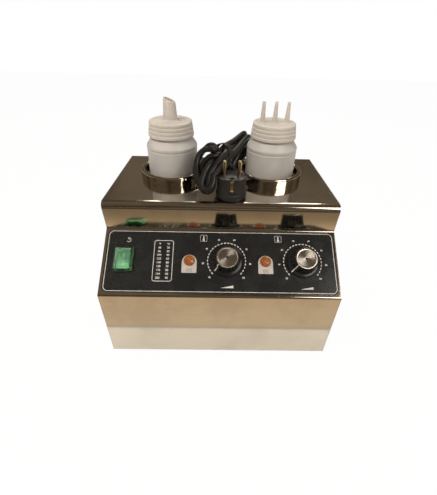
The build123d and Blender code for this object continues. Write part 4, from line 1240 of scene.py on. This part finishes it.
class WARMER_OT_panel_print(bpy.types.Operator):
    """The panel's lines, figures and plain symbols"""

    bl_idname = "warmer.panel_print"
    bl_label = "Panel print"

    def execute(self, context):
        line = sizes().print_line
        pieces = [line_frame(**FILM_FRAME, line=line), line_frame(**TABLE_FRAME, line=line)]
        pieces += self.table()
        for side in SIDES:
            pieces += self.dial(DIAL_X[side])
        for place in ICON_PLACES:
            pieces += self.thermometer(*place)
        for x, y in RAMP_PLACES:
            wedge = [(x - RAMP_HALF, y - 1.3, 0), (x + RAMP_HALF, y - 1.3, 0), (x + RAMP_HALF, y + 1.9, 0)]
            pieces.append(extrude_outline(wedge, PRINT_DEPTH))
        pieces += self.power(*POWER_PLACE)
        self.lay(pieces, "panel_print", "ink")
        self.lay([self.lamp_plate(DIAL_X[side] + LAMP_OFFSET) for side in SIDES], "lamp_plates", "plate_grey")
        waves = [wave for side in SIDES for wave in self.heat_waves(DIAL_X[side] + LAMP_OFFSET)]
        self.lay(waves, "heat_symbols", "dark_ink", PRINT_DEPTH)
        return {"FINISHED"}

    def lay(self, pieces, name, look, lift=0.0):
        """Join printed shapes and lay them on the film."""
        piece = join(pieces)
        place_piece(piece, on_panel(0, 0, FILM + lift), tilt=PANEL_TILT)
        finish_piece(piece, name, "case", finish(look))

    def table(self):
        pieces = [write(unit, UNIT_SIZE, x, TABLE_TOP) for unit, x in zip(("°F", "°C"), TABLE_COLUMNS)]
        for index, row in enumerate(TABLE_ROWS):
            y = TABLE_TOP - (index + 1) * TABLE_PITCH
            pieces += [write(str(value), FIGURE_SIZE, x, y) for value, x in zip(row, TABLE_COLUMNS)]
        return pieces

    def dial(self, x):
        """An arc of dashes with plain figures round it."""
        dash = DIAL_SWEEP / (DIAL_DASHES - 1) * DASH_SHARE
        bar = DIAL_ARC * radians(dash)
        piece = extrude_outline(rectangle(bar, DASH_WIDTH, 0.3, 0, DIAL_ARC), PRINT_DEPTH, 2)
        place_piece(piece, mm(x, CONTROL_HEIGHT, 0), turn=radians(DIAL_SWEEP / 2))
        bpy.ops.object.mode_set(mode="EDIT")
        bpy.ops.mesh.select_all(action="SELECT")
        bpy.ops.mesh.spin(
            steps=DIAL_DASHES - 1, dupli=True, angle=radians(DIAL_SWEEP), center=mm(x, CONTROL_HEIGHT, 0),
            axis=(0, 0, 1),
        )
        bpy.ops.object.mode_set(mode="OBJECT")
        pieces = [piece]
        for index, number in enumerate(DIAL_NUMBERS):
            angle = radians(-DIAL_SWEEP / 2 - 4 + (DIAL_SWEEP + 8) * index / (len(DIAL_NUMBERS) - 1))
            place = (x + NUMBER_RADIUS * sin(angle), CONTROL_HEIGHT + NUMBER_RADIUS * cos(angle))
            pieces.append(write(str(number), DIAL_FIGURE_SIZE, *place))
        return pieces

    def thermometer(self, x, y):
        """A boxed thermometer."""
        return [
            line_frame(8.8, 9.0, 1.0, x, y, 0.35 * MM),
            extrude_outline(rectangle(1.5, 5.4, 0.7, x, y + 0.6), PRINT_DEPTH, 3),
            flat_ring(1.5, 0.05, x, y - 2.2, 20),
        ]

    def power(self, x, y):
        """A plain ring and bar."""
        ring = turn_outline(
            [(2.3, 0, 0), (3.0, 0, 0), (3.0, PRINT_DEPTH, 0), (2.3, PRINT_DEPTH, 0)], True, 28,
            around=radians(280),
        )
        place_piece(ring, mm(x, y, 0), turn=radians(130))
        bar = extrude_outline(rectangle(0.75, 3.4, 0.2, x, y + 1.9), PRINT_DEPTH, 2)
        return [ring, bar]

    def lamp_plate(self, x):
        """An upright plate with a round top."""
        half = LAMP_PLATE["width"] / 2
        low, high = LAMP_PLATE["low"], LAMP_PLATE["high"]
        arch = half - 0.01
        corners = [(x - half, low, 0.8), (x + half, low, 0.8), (x + half, high, arch), (x - half, high, arch)]
        return extrude_outline(corners, PRINT_DEPTH, 14)

    def heat_waves(self, x):
        """Three rising waves."""
        waves = []
        for shift in (-2.6, 0, 2.6):
            side = [(0.5 * sin(step * 0.9), 31.4 + step * 0.42) for step in range(11)]
            outline = [(x + shift + off - 0.3, y, 0) for off, y in side]
            outline += [(x + shift + off + 0.3, y, 0) for off, y in reversed(side)]
            waves.append(extrude_outline(outline, PRINT_DEPTH))
        return waves


# ---------------------------------------------------------------- plug, gland, tie and feet
PLUG_PLACE = (12.0, -25.0)
PLUG_RADIUS = 18.4
PLUG_FLAT = 15.8
PLUG_BACK = 19.6
PLUG_BACK_HEIGHT = 9.0
PLUG_HEIGHT = 28.5
PIN_RADIUS = 2.4
PIN_LENGTH = 19.0
PIN_SPACING = 19.0
RELIEF_HEIGHT = 8.5
RELIEF_END = 45.6


def ribbed_sleeve(start, end, first, last, ribs):
    """Outline of a tapering sleeve with grooves: (radius, height, corner radius)."""
    outline = [(0, start, 0), (first, start, 0.2)]
    pitch = (end - start) / (ribs + 1)
    for index in range(ribs):
        height = start + pitch * (index + 0.8)
        radius = first + (last - first) * (height - start) / (end - start)
        outline += [
            (radius, height, 0.3),
            (radius - 0.9, height + 0.25, 0.2),
            (radius - 0.9, height + 1.1, 0.2),
            (radius, height + 1.35, 0.3),
        ]
    return [*outline, (last, end, 0.4), (0, end, 0)]


def slot_tool(width, depth, height, x, y, z):
    """A block for cutting, standing on z."""
    tool = extrude_outline(rectangle(width, depth, 0, x, y), height)
    return place_piece(tool, mm(0, 0, z))


class WARMER_OT_plug(bpy.types.Operator):
    """The moulded angled plug with its pins and spring contacts"""

    bl_idname = "warmer.plug"
    bl_label = "Mains plug"

    def execute(self, context):
        place = mm(*PLUG_PLACE, TOP_Z / MM)
        body = self.body()
        place_piece(body, place)
        finish_piece(body, "moulded_plug", "case", finish("plug_black"), ["plug_body"], 35)
        pin = turn_outline(
            [(0, 0, 0), (PIN_RADIUS, 0, 0), (PIN_RADIUS, PIN_LENGTH, 1.5), (0, PIN_LENGTH, 0)], steps=40
        )
        twin = copy_of(pin)
        place_piece(pin, place + mm(-PIN_SPACING / 2, 0, PLUG_HEIGHT - 0.2))
        place_piece(twin, place + mm(PIN_SPACING / 2, 0, PLUG_HEIGHT - 0.2))
        pins = join([pin, twin])
        finish_piece(pins, "contact_pins", "case", finish("pin_nickel"), ["plug_pins"])
        clips = []
        for turn in (-1, 1):
            line = [(0, 16.2), (0.35, 15.4), (0.5, 12), (0.75, 8), (0.5, 4), (0.1, 0)]
            clip = ribbon([(x, z) for x, z in line], 4.0, 0.5)
            middle = mm(0, turn * (PLUG_FLAT - 0.75), PLUG_HEIGHT - 17.2)
            place_piece(clip, place + middle, turn=turn * pi / 2)
            clips.append(bevel(clip, 0.12, 2))
        spring = join(clips)
        finish_piece(
            spring, "earth_springs", "case", finish("pin_nickel"), ["plug_earth_clips"]
        )
        return {"FINISHED"}

    def body(self):
        limit = degrees(atan2(PLUG_FLAT, sqrt(PLUG_RADIUS**2 - PLUG_FLAT**2)))
        outline = []
        for start in (-limit, 180 - limit):
            for step in range(25):
                angle = radians(start + 2 * limit * step / 24)
                outline.append((PLUG_RADIUS * cos(angle), PLUG_RADIUS * sin(angle), 0))
        insert = extrude_outline(outline, PLUG_HEIGHT - PLUG_BACK_HEIGHT + 0.5)
        place_piece(insert, mm(0, 0, PLUG_BACK_HEIGHT - 0.5))
        back = turn_outline(
            [(0, 0, 0), (PLUG_BACK, 0, 2.5), (PLUG_BACK, PLUG_BACK_HEIGHT, 1.4), (0, PLUG_BACK_HEIGHT, 0)]
        )
        self.unite(insert, back)
        for turn in (-1, 1):
            x = turn * (PLUG_RADIUS - 0.4)
            cut(insert, slot_tool(2.4, 5.4, PLUG_HEIGHT, x, 0, PLUG_BACK_HEIGHT + 2))
            y = turn * (PLUG_FLAT - 0.1)
            cut(insert, slot_tool(5.0, 2.2, 18.5, 0, y, PLUG_HEIGHT - 18.0))
        hole = turn_outline([(0, 0, 0), (2.5, 0, 0), (2.5, 15, 0), (0, 15, 0)], steps=32)
        place_piece(hole, mm(0, -10.4, PLUG_HEIGHT - 14))
        cut(insert, hole)
        bevel(insert, 0.5, 2, 50)
        rim = turn_outline([(2.6, 0, 0), (3.6, 0, 0), (3.4, 0.5, 0.2), (2.8, 0.5, 0.2)], True, 6)
        place_piece(rim, mm(0, -10.4, PLUG_HEIGHT - 0.05))
        relief = turn_outline(ribbed_sleeve(0, RELIEF_END - 14, 6.0, 4.4, 8), steps=48)
        place_piece(relief, mm(0, 14, RELIEF_HEIGHT), tilt=-pi / 2)
        return join([insert, rim, relief])

    def unite(self, piece, other):
        select_only(piece)
        change = piece.modifiers.new("unite", "BOOLEAN")
        change.operation = "UNION"
        change.solver = "EXACT"
        change.object = other
        bpy.ops.object.modifier_apply(modifier=change.name)
        bpy.data.objects.remove(other)


GLAND_PLACE = (0.0, 118.8, 50.0)
GLAND_ACROSS = 22.0
FOOT_PLACES = ((-124, -94), (124, -94), (-124, 94), (124, 94))


class WARMER_OT_fittings(bpy.types.Operator):
    """The cable gland, the hank's tie and the rubber feet"""

    bl_idname = "warmer.fittings"
    bl_label = "Gland, tie and feet"

    def execute(self, context):
        select_only(None)
        bpy.ops.mesh.primitive_cylinder_add(
            vertices=6, radius=GLAND_ACROSS / sqrt(3) * MM, depth=4 * MM, location=mm(0, 0, 2)
        )
        nut = bevel(bpy.context.object, 0.7, 2)
        sleeve = turn_outline(ribbed_sleeve(4, 26, 8.5, 4.6, 6), steps=64)
        thread = turn_outline([(0, -11.2, 0), (8, -11.2, 0.6), (8, 0.1, 0), (0, 0.1, 0)], steps=48)
        gland = join([nut, sleeve, thread])
        place_piece(gland, mm(*GLAND_PLACE), tilt=-pi / 2)
        finish_piece(gland, "ribbed_gland", "case", finish("gland_black"), ["cable_gland"])
        self.tie()
        foot = turn_outline(
            [(2.05, 4, 0), (4.05, 4, 0.2), (4.05, 0, 0.4), (11, 0, 1.2), (12.5, 8, 0.5), (2.05, 8, 0)], True
        )
        feet = []
        for x, y in FOOT_PLACES:
            feet.append(place_piece(copy_of(foot), mm(x, y, 0)))
        bpy.data.objects.remove(foot)
        base = join(feet)
        finish_piece(base, "rubber_foot_set", "case", finish("foot_rubber"), ["rubber_feet"])
        return {"FINISHED"}

    def tie(self):
        """A flat strap round the waist of the hank."""
        outer, inner = TIE_RADIUS + 1.2, TIE_RADIUS
        half = TIE_WIDTH / 2
        band = turn_outline(
            [(inner, -half, 0.3), (outer, -half, 0.5), (outer, half, 0.5), (inner, half, 0.3)], True
        )
        middle = TIE_MIDDLE + Vector((0, 0, TOP_Z / MM))
        turned = TIE_WAY.to_track_quat("Z", "Y").to_matrix().to_4x4()
        band.matrix_world = Matrix.Translation(middle * MM) @ turned
        finish_piece(band, "hank_strap", "case", finish("cord_black"), ["cord_tie"])


# ---------------------------------------------------------------- the lead
# The lead's route, in millimetres: the same points as the CAD tube.
LEAD_ROUTE = [
    (0.0, 144.8, 50.0),
    (0.0, 178.0, 50.0),
    (4.0, 198.0, 80.0),
    (9.0, 192.0, 118.0),
    (15.0, 176.0, 158.0),
    (23.0, 160.0, 198.0),
    (31.0, 133.0, 228.0),
    (34.0, 101.0, 228.3),
]
# The hank's two lobes: middle, the way along the ring and across it, above the top plate.
FRONT_LOBE = {
    "middle": Vector((-27.0, -12.0, 30.6)),
    "along": Vector((0.0, 0.66, 0.751)).normalized(),
    "across": Vector((0.905, -0.32, 0.281)).normalized(),
}
REAR_LOBE = {
    "middle": Vector((21.2, 55.0, 29.2)),
    "along": Vector((0.425, 0.885, 0.19)).normalized(),
    "across": Vector((0.261, -0.125, 0.957)).normalized(),
}
# Turns of the front lobe: (across, along, off its plane), the last to the back.
FRONT_TURNS = [
    [
        (24, 20, 2), (18, 25, 2), (9, 29.5, 1), (2, 26, 0), (-4, 18, 0), (-9, 9, 0), (-12.5, 1, 0),
        (-10, -8, 0), (-5, -17, 0), (0, -26, 0), (6, -33, 1), (13, -35.5, 2), (20, -33, 3), (22, -24, 4),
        (22, -12, 5), (24, 0, 4),
    ],
    [
        (26, 18, -4), (18, 22, -5), (8, 22, -6), (1, 20, -6), (-3, 12, -6), (-4.5, 3, -6), (-3.5, -6, -6),
        (0.5, -15, -6), (5, -24, -5), (9, -30, -4), (14.5, -31, -3), (18, -26, -2), (18, -14, -2),
        (21, -2, -2),
    ],
    [
        (22, 6, -9), (17, -2, -9.5), (12, -8, -9), (7, -15, -9), (4, -22, -8), (5, -29, -7), (10, -34, -6),
        (17, -34, -5), (22, -28, -4), (23, -16, -3), (24, -4, -3),
    ],
    [
        (25, 13, 1), (14, 12, 0), (4, 9.5, 0), (-2, 3, 1), (-1, -6, 3), (4, -13, 5), (9, -20, 6),
        (13, -27, 6), (19, -28, 6), (23, -20, 6), (25, -8, 6),
    ],
]
# Turns of the rear lobe: (top, far end, bottom, off its plane), and the rises back to the tie.
REAR_TURNS = [(21, 46, 21, -5), (14, 36, 16, -3), (20, 44, 19, 3), (12, 35, 21, 4)]
REAR_RISES = (-9, -4, 1.5, 6)
REAR_RISE = [(-20, -18), (-30, -8), (-36, 3)]
# The tie: its middle and the waist's way to the rear, and where each pass lies in it, in degrees.
TIE_MIDDLE = Vector((1.2, 13.3, 42.8))
TIE_WAY = Vector((29.2, 40.5, -6.6)).normalized()
TIE_WIDTH = 9.0
STRAND_GAP = 7.15
STRAND_CIRCLE = 8.3
TIE_RADIUS = STRAND_CIRCLE + 3.6
PASSES_FORWARD = (206, 154, 257, None)
PASSES_BACK = (103, 51, 0, 309)
PLUG_END = (12.0, 20.6, 8.5)
LEAD_PITCH = 4.5
RELAX_ROUNDS = 110
LEAD_HALF = 3.5
PUSH_SHARE, HOME_SHARE, SMOOTH_SHARE = 0.6, 0.015, 0.18


def lobe_point(lobe, along, across, lift):
    """A place on a lobe in millimetres above the top plate and off the ring's plane."""
    normal = lobe["along"].cross(lobe["across"])
    return lobe["middle"] + lobe["along"] * along + lobe["across"] * across + normal * lift


def tie_pass(angle):
    """One pass through the tie: its places ahead of and behind the strap."""
    side = TIE_WAY.cross(Vector((0, 0, 1))).normalized()
    up = side.cross(TIE_WAY)
    off = Vector((0, 0, 0))
    if angle is not None:
        off = (side * cos(radians(angle)) + up * sin(radians(angle))) * STRAND_CIRCLE
    return [TIE_MIDDLE + off - TIE_WAY * 8, TIE_MIDDLE + off + TIE_WAY * 8]


def rear_ring(top, far, bottom, lift):
    """Back along the rear lobe's top, round its far end and forward along its bottom."""
    line = [(-16, top), (0, top + 1), (16, top)]
    radius = (top + bottom) / 2
    for step in range(5):
        angle = radians(60 - 30 * step)
        line.append((far - radius + radius * cos(angle), (top - bottom) / 2 + radius * sin(angle)))
    line += [(8, -bottom), (-8, -bottom)]
    return [lobe_point(REAR_LOBE, along, across, lift) for along, across in line]


def hank_corners():
    """Corners of the hank's line from the lead to the plug, above the top plate."""
    above = Vector((0, 0, TOP_Z / MM))
    first = REAR_RISES[0]
    corners = [Vector(LEAD_ROUTE[-1]) - above]
    corners += [lobe_point(REAR_LOBE, 28, -15, first + 2), lobe_point(REAR_LOBE, 8, -20, first)]
    for turn, path in enumerate(FRONT_TURNS):
        corners += [lobe_point(REAR_LOBE, *place, REAR_RISES[turn]) for place in REAR_RISE]
        corners += reversed(tie_pass(PASSES_FORWARD[turn]))
        corners += [lobe_point(FRONT_LOBE, along, across, lift) for across, along, lift in path]
        corners += tie_pass(PASSES_BACK[turn])
        corners += rear_ring(*REAR_TURNS[turn])
    end = Vector(PLUG_END)
    return corners + [end + Vector((0, 12, 0)), end, end - Vector((0, 6, 0))]


def even_points(corners, pitch):
    """Points at an even pitch on a smooth line through the corners."""
    fine = []
    last = len(corners) - 1
    for index in range(last):
        before, here = corners[max(index - 1, 0)], corners[index]
        there, after = corners[index + 1], corners[min(index + 2, last)]
        for step in range(12):
            t = step / 12
            bend = (2 * before - 5 * here + 4 * there - after) * t**2
            twist = (3 * here - before - 3 * there + after) * t**3
            fine.append((2 * here + (there - before) * t + bend + twist) / 2)
    fine.append(corners[-1])
    points, walked = [fine[0]], 0.0
    for here, there in zip(fine, fine[1:]):
        walked += (there - here).length
        if walked >= pitch:
            points.append(there)
            walked = 0.0
    return points + [corners[-1]]


def keep_off_post(place, x, y, reach, top):
    """Push a point off an upright post, sideways or over its top, whichever is nearer."""
    off = Vector((place.x - x, place.y - y, 0))
    inside = reach - off.length
    if inside <= 0 or place.z >= top:
        return
    if top - place.z < inside:
        place.z = top
    else:
        place += off.normalized() * inside


def keep_off(place):
    """Push a point of the lead off the plate, bottles, collars, plug and pins."""
    for axis in WELL_AXES:
        keep_off_post(place, axis.x, axis.y, BOTTLE_RADIUS + LEAD_HALF + 0.3, SPOUT_TOP)
        keep_off_post(place, axis.x, axis.y, COLLAR_OUTER + LEAD_HALF + 0.2, COLLAR_HEIGHT + LEAD_HALF)
    x, y = PLUG_PLACE
    keep_off_post(place, x, y, PLUG_BACK + LEAD_HALF + 0.3, PLUG_HEIGHT + LEAD_HALF)
    for turn in (-1, 1):
        reach = PIN_RADIUS + LEAD_HALF + 0.2
        keep_off_post(place, x + turn * PIN_SPACING / 2, y, reach, PLUG_HEIGHT + PIN_LENGTH + LEAD_HALF)
    start = y + PLUG_BACK
    nearest = Vector((x, min(max(place.y, start), y + RELIEF_END), RELIEF_HEIGHT))
    off = place - nearest
    reach = LEAD_HALF + 6.0
    if place.y < y + RELIEF_END and 0 < off.length < reach:
        place += off.normalized() * (reach - off.length)
    place.z = max(place.z, LEAD_HALF + 0.1)


def relax_lead(points, held):
    """Part the strands, keep their pitch and bend, and keep the tie's passes in the strap."""
    home = [place.copy() for place in points]
    free = range(held, len(points) - held)
    in_tie = {}
    for index in free:
        off = points[index] - TIE_MIDDLE
        ahead = off.dot(TIE_WAY)
        in_tie[index] = abs(ahead) < 9 and (off - TIE_WAY * ahead).length < STRAND_CIRCLE + 2
    for turn in range(RELAX_ROUNDS):
        tree = KDTree(len(points))
        for index, place in enumerate(points):
            tree.insert(place, index)
        tree.balance()
        push = [Vector((0, 0, 0)) for _ in points]
        for index, place in enumerate(points):
            for other, number, distance in tree.find_range(place, STRAND_GAP):
                if abs(number - index) > 3 and distance > 0.01:
                    push[index] += (place - other) * (STRAND_GAP - distance) / distance / 2
        for index in free:
            place = points[index]
            place += push[index] * PUSH_SHARE + (home[index] - place) * HOME_SHARE
            place += ((points[index - 1] + points[index + 1]) / 2 - place) * SMOOTH_SHARE
        for _ in range(3):
            for index in range(held, len(points) - held + 1):
                step = points[index] - points[index - 1]
                error = step * (1 - LEAD_PITCH / step.length) / 2
                if index - 1 in free:
                    points[index - 1] += error
                if index in free:
                    points[index] -= error
        for index in free:
            off = points[index] - TIE_MIDDLE
            ahead = off.dot(TIE_WAY)
            if abs(ahead) < TIE_WIDTH / 2 + 2:
                out = off - TIE_WAY * ahead
                if in_tie[index] and out.length > STRAND_CIRCLE:
                    points[index] -= out.normalized() * (out.length - STRAND_CIRCLE)
                elif not in_tie[index] and 0 < out.length < TIE_RADIUS + 5:
                    points[index] += out.normalized() * (TIE_RADIUS + 5 - out.length)
            keep_off(points[index])
    return points


def lead_points():
    """Control points of the whole lead, from the gland to the plug, above the floor."""
    above = Vector((0, 0, TOP_Z / MM))
    hank = relax_lead(even_points(hank_corners(), LEAD_PITCH), 3)
    return [Vector(place) for place in LEAD_ROUTE[:-1]] + [place + above for place in hank]


class WARMER_OT_lead(bpy.types.Operator):
    """The mains lead in one length, from the gland round the hank to the plug"""

    bl_idname = "warmer.lead"
    bl_label = "Mains lead"

    def execute(self, context):
        points = lead_points()
        data = bpy.data.curves.new("power_lead_cord", "CURVE")
        data.dimensions = "3D"
        spline = data.splines.new("NURBS")
        spline.points.add(len(points) - 1)
        for point, place in zip(spline.points, points):
            point.co = (*(place * MM), 1)
        spline.order_u = 3
        spline.use_endpoint_u = True
        spline.resolution_u = 8
        data.bevel_depth = sizes().cord_diameter / 2
        data.bevel_resolution = 5
        data.use_fill_caps = True
        lead = bpy.data.objects.new("power_lead_cord", data)
        context.scene.collection.objects.link(lead)
        finish_piece(lead, "power_lead_cord", "case", finish("cord_black"))
        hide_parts("power_lead", "cord_hank")
        return {"FINISHED"}


# ---------------------------------------------------------------- the stage
# The picture's size and the camera that took it.
PICTURE = (437, 495)
FOCAL_PIXELS = 299.36
PRINCIPAL_POINT = (220.9, 247.2)
CAMERA_PLACE = mm(-5.7, -380.1, 382.5)
CAMERA_PITCH = radians(36.15)
CAMERA_YAW = radians(1.06)
CAMERA_ROLL = radians(1.53)


class WARMER_OT_stage(bpy.types.Operator):
    """Floor, reflecting cards, lamps, world and the camera"""

    bl_idname = "warmer.stage"
    bl_label = "Stage"

    def execute(self, context):
        self.camera(context)
        self.floor()
        self.lamps()
        self.world(context)
        context.scene.view_settings.view_transform = "Standard"
        return {"FINISHED"}

    def camera(self, context):
        long_side = max(PICTURE)
        data = bpy.data.cameras.new("camera")
        data.sensor_width = 36
        data.lens = data.sensor_width * FOCAL_PIXELS / long_side
        data.shift_x = (PICTURE[0] / 2 - PRINCIPAL_POINT[0]) / long_side
        data.shift_y = (PRINCIPAL_POINT[1] - PICTURE[1] / 2) / long_side
        data.clip_start = 0.01
        eye = bpy.data.objects.new("camera", data)
        context.scene.collection.objects.link(eye)
        ahead = Vector(
            (
                sin(CAMERA_YAW) * cos(CAMERA_PITCH),
                cos(CAMERA_YAW) * cos(CAMERA_PITCH),
                -sin(CAMERA_PITCH),
            )
        )
        level = Vector((cos(CAMERA_YAW), -sin(CAMERA_YAW), 0))
        upright = level.cross(ahead)
        right = level * cos(CAMERA_ROLL) + upright * sin(CAMERA_ROLL)
        up = upright * cos(CAMERA_ROLL) - level * sin(CAMERA_ROLL)
        axes = Matrix((right, up, -ahead)).transposed().to_4x4()
        eye.matrix_world = Matrix.Translation(CAMERA_PLACE) @ axes
        context.scene.camera = eye

    def floor(self):
        select_only(None)
        bpy.ops.mesh.primitive_plane_add(size=6)
        ground = bpy.context.object
        ground.name = "floor"
        material, tree, shader = new_finish("floor", Roughness=0.9)
        shader.inputs["Base Color"].default_value = (0.80, 0.78, 0.74, 1)
        path = tree.nodes.new("ShaderNodeLightPath")
        lift = tree.nodes.new("ShaderNodeMath")
        lift.operation = "MULTIPLY"
        lift.inputs[1].default_value = 0.97
        tree.links.new(path.outputs["Is Camera Ray"], lift.inputs[0])
        white = tree.nodes.new("ShaderNodeEmission")
        mix = tree.nodes.new("ShaderNodeMixShader")
        tree.links.new(lift.outputs[0], mix.inputs["Fac"])
        tree.links.new(shader.outputs[0], mix.inputs[1])
        tree.links.new(white.outputs[0], mix.inputs[2])
        tree.links.new(mix.outputs[0], tree.nodes["Material Output"].inputs["Surface"])
        ground.data.materials.append(material)
        self.front_card()
        self.tent()

    def card_look(self, card, material):
        """Seen in reflections only, and no source of light."""
        card.data.materials.append(material)
        card.visible_camera = False
        card.visible_diffuse = False
        card.visible_shadow = False
        card.visible_transmission = False
        material.cycles.emission_sampling = "NONE"

    def front_card(self):
        """A tan card on the floor ahead of the case, which the skirt and the nose reflect."""
        select_only(None)
        bpy.ops.mesh.primitive_plane_add(size=1, location=(0, -0.165 - 0.75, 0.001))
        card = bpy.context.object
        card.name = "front_card"
        card.scale = (3.0, 1.5, 1)
        bpy.ops.object.transform_apply(location=True, rotation=True, scale=True)
        material = bpy.data.materials.new("front_card")
        material.use_nodes = True
        tree = material.node_tree
        tree.nodes.remove(tree.nodes["Principled BSDF"])
        place = tree.nodes.new("ShaderNodeSeparateXYZ")
        tree.links.new(coordinates(tree), place.inputs[0])
        along = tree.nodes.new("ShaderNodeMapRange")
        along.inputs["From Min"].default_value = -0.165
        along.inputs["From Max"].default_value = -0.600
        tree.links.new(place.outputs["Y"], along.inputs["Value"])
        ramp = tree.nodes.new("ShaderNodeValToRGB")
        stops = [
            (0.0, (0.50, 0.43, 0.35)),
            (0.015, (0.74, 0.60, 0.42)),
            (0.16, (0.70, 0.53, 0.34)),
            (0.24, (0.34, 0.25, 0.15)),
            (0.42, (0.13, 0.10, 0.065)),
            (1.0, (0.075, 0.058, 0.036)),
        ]
        while len(ramp.color_ramp.elements) < len(stops):
            ramp.color_ramp.elements.new(0.5)
        for element, (position, colour) in zip(ramp.color_ramp.elements, stops):
            element.position = position
            element.color = (*colour, 1)
        tree.links.new(along.outputs["Result"], ramp.inputs["Fac"])
        shine = tree.nodes.new("ShaderNodeEmission")
        tree.links.new(ramp.outputs["Color"], shine.inputs["Color"])
        tree.links.new(shine.outputs[0], tree.nodes["Material Output"].inputs["Surface"])
        self.card_look(card, material)

    def tent(self):
        """A dark brown tent round the stage, seen in reflections only."""
        select_only(None)
        bpy.ops.mesh.primitive_uv_sphere_add(segments=48, ring_count=24, radius=2.4)
        tent = bpy.context.object
        tent.name = "tent"
        material = bpy.data.materials.new("tent")
        material.use_nodes = True
        tree = material.node_tree
        tree.nodes.remove(tree.nodes["Principled BSDF"])
        vector = coordinates(tree)
        noise = place_effect(tree, "smudges", vector, Scale=0.9, Threshold=0.40)
        tone = mix_colours(tree, noise, (0.060, 0.044, 0.030), (0.155, 0.122, 0.088))
        shine = tree.nodes.new("ShaderNodeEmission")
        tree.links.new(tone, shine.inputs["Color"])
        tree.links.new(shine.outputs[0], tree.nodes["Material Output"].inputs["Surface"])
        self.card_look(tent, material)

    def lamp(self, name, place, target, size, power, colour=(1, 0.95, 0.88)):
        data = bpy.data.lights.new(name, "AREA")
        data.shape = "RECTANGLE"
        data.size, data.size_y = size
        data.energy = power
        data.color = colour
        lamp = bpy.data.objects.new(name, data)
        bpy.context.scene.collection.objects.link(lamp)
        lamp.location = place
        lamp.visible_glossy = name != "key"
        lamp.rotation_euler = (Vector(target) - Vector(place)).to_track_quat("-Z", "Y").to_euler()
        return lamp

    def lamps(self):
        self.lamp("key", (-0.7, -0.6, 1.5), (0, 0, 0.15), (0.9, 0.9), 22)
        self.lamp("fill", (0.9, -0.9, 1.0), (0, 0, 0.15), (0.8, 0.8), 9)
        self.lamp("back", (0.1, 1.2, 1.4), (0, 0, 0.2), (1.2, 0.5), 8)

    def world(self, context):
        """White to the camera, and a plain soft light on everything else."""
        world = bpy.data.worlds.new("studio")
        context.scene.world = world
        world.use_nodes = True
        tree = world.node_tree
        soft = tree.nodes["Background"]
        soft.inputs["Color"].default_value = (1.0, 0.96, 0.90, 1)
        soft.inputs["Strength"].default_value = 0.45
        white = tree.nodes.new("ShaderNodeBackground")
        white.inputs["Color"].default_value = (1, 1, 1, 1)
        path = tree.nodes.new("ShaderNodeLightPath")
        mix = tree.nodes.new("ShaderNodeMixShader")
        link = tree.links.new
        link(path.outputs["Is Camera Ray"], mix.inputs["Fac"])
        link(soft.outputs[0], mix.inputs[1])
        link(white.outputs[0], mix.inputs[2])
        link(mix.outputs[0], tree.nodes["World Output"].inputs["Surface"])


OPERATORS = [
    WARMER_OT_stage,
    WARMER_OT_cad_finishes,
    WARMER_OT_bottles,
    WARMER_OT_caps,
    WARMER_OT_wells,
    WARMER_OT_knobs,
    WARMER_OT_switch,
    WARMER_OT_lamps,
    WARMER_OT_panel_print,
    WARMER_OT_plug,
    WARMER_OT_fittings,
    WARMER_OT_lead,
]


class WARMER_PT_panel(bpy.types.Panel):
    """The warmer's pieces, in the order that they are made"""

    bl_label = "Topping warmer"
    bl_idname = "WARMER_PT_panel"
    bl_space_type = "VIEW_3D"
    bl_region_type = "UI"
    bl_category = "Warmer"

    def draw(self, context):
        for group in (context.scene.warmer_sizes, context.scene.warmer_colours):
            for name in group.__annotations__:
                self.layout.prop(group, name)
        for operator in OPERATORS:
            self.layout.operator(operator.bl_idname)


CLASSES = [WarmerSizes, WarmerColours, *OPERATORS, WARMER_PT_panel]


def register():
    for entry in CLASSES:
        bpy.utils.register_class(entry)
    bpy.types.Scene.warmer_sizes = bpy.props.PointerProperty(type=WarmerSizes)
    bpy.types.Scene.warmer_colours = bpy.props.PointerProperty(type=WarmerColours)


def unregister():
    del bpy.types.Scene.warmer_colours
    del bpy.types.Scene.warmer_sizes
    for entry in reversed(CLASSES):
        bpy.utils.unregister_class(entry)


def main():
    register()
    for operator in OPERATORS:
        group, name = operator.bl_idname.split(".")
        getattr(getattr(bpy.ops, group), name)()
    select_only(None)


if __name__ == "__main__":
    main()
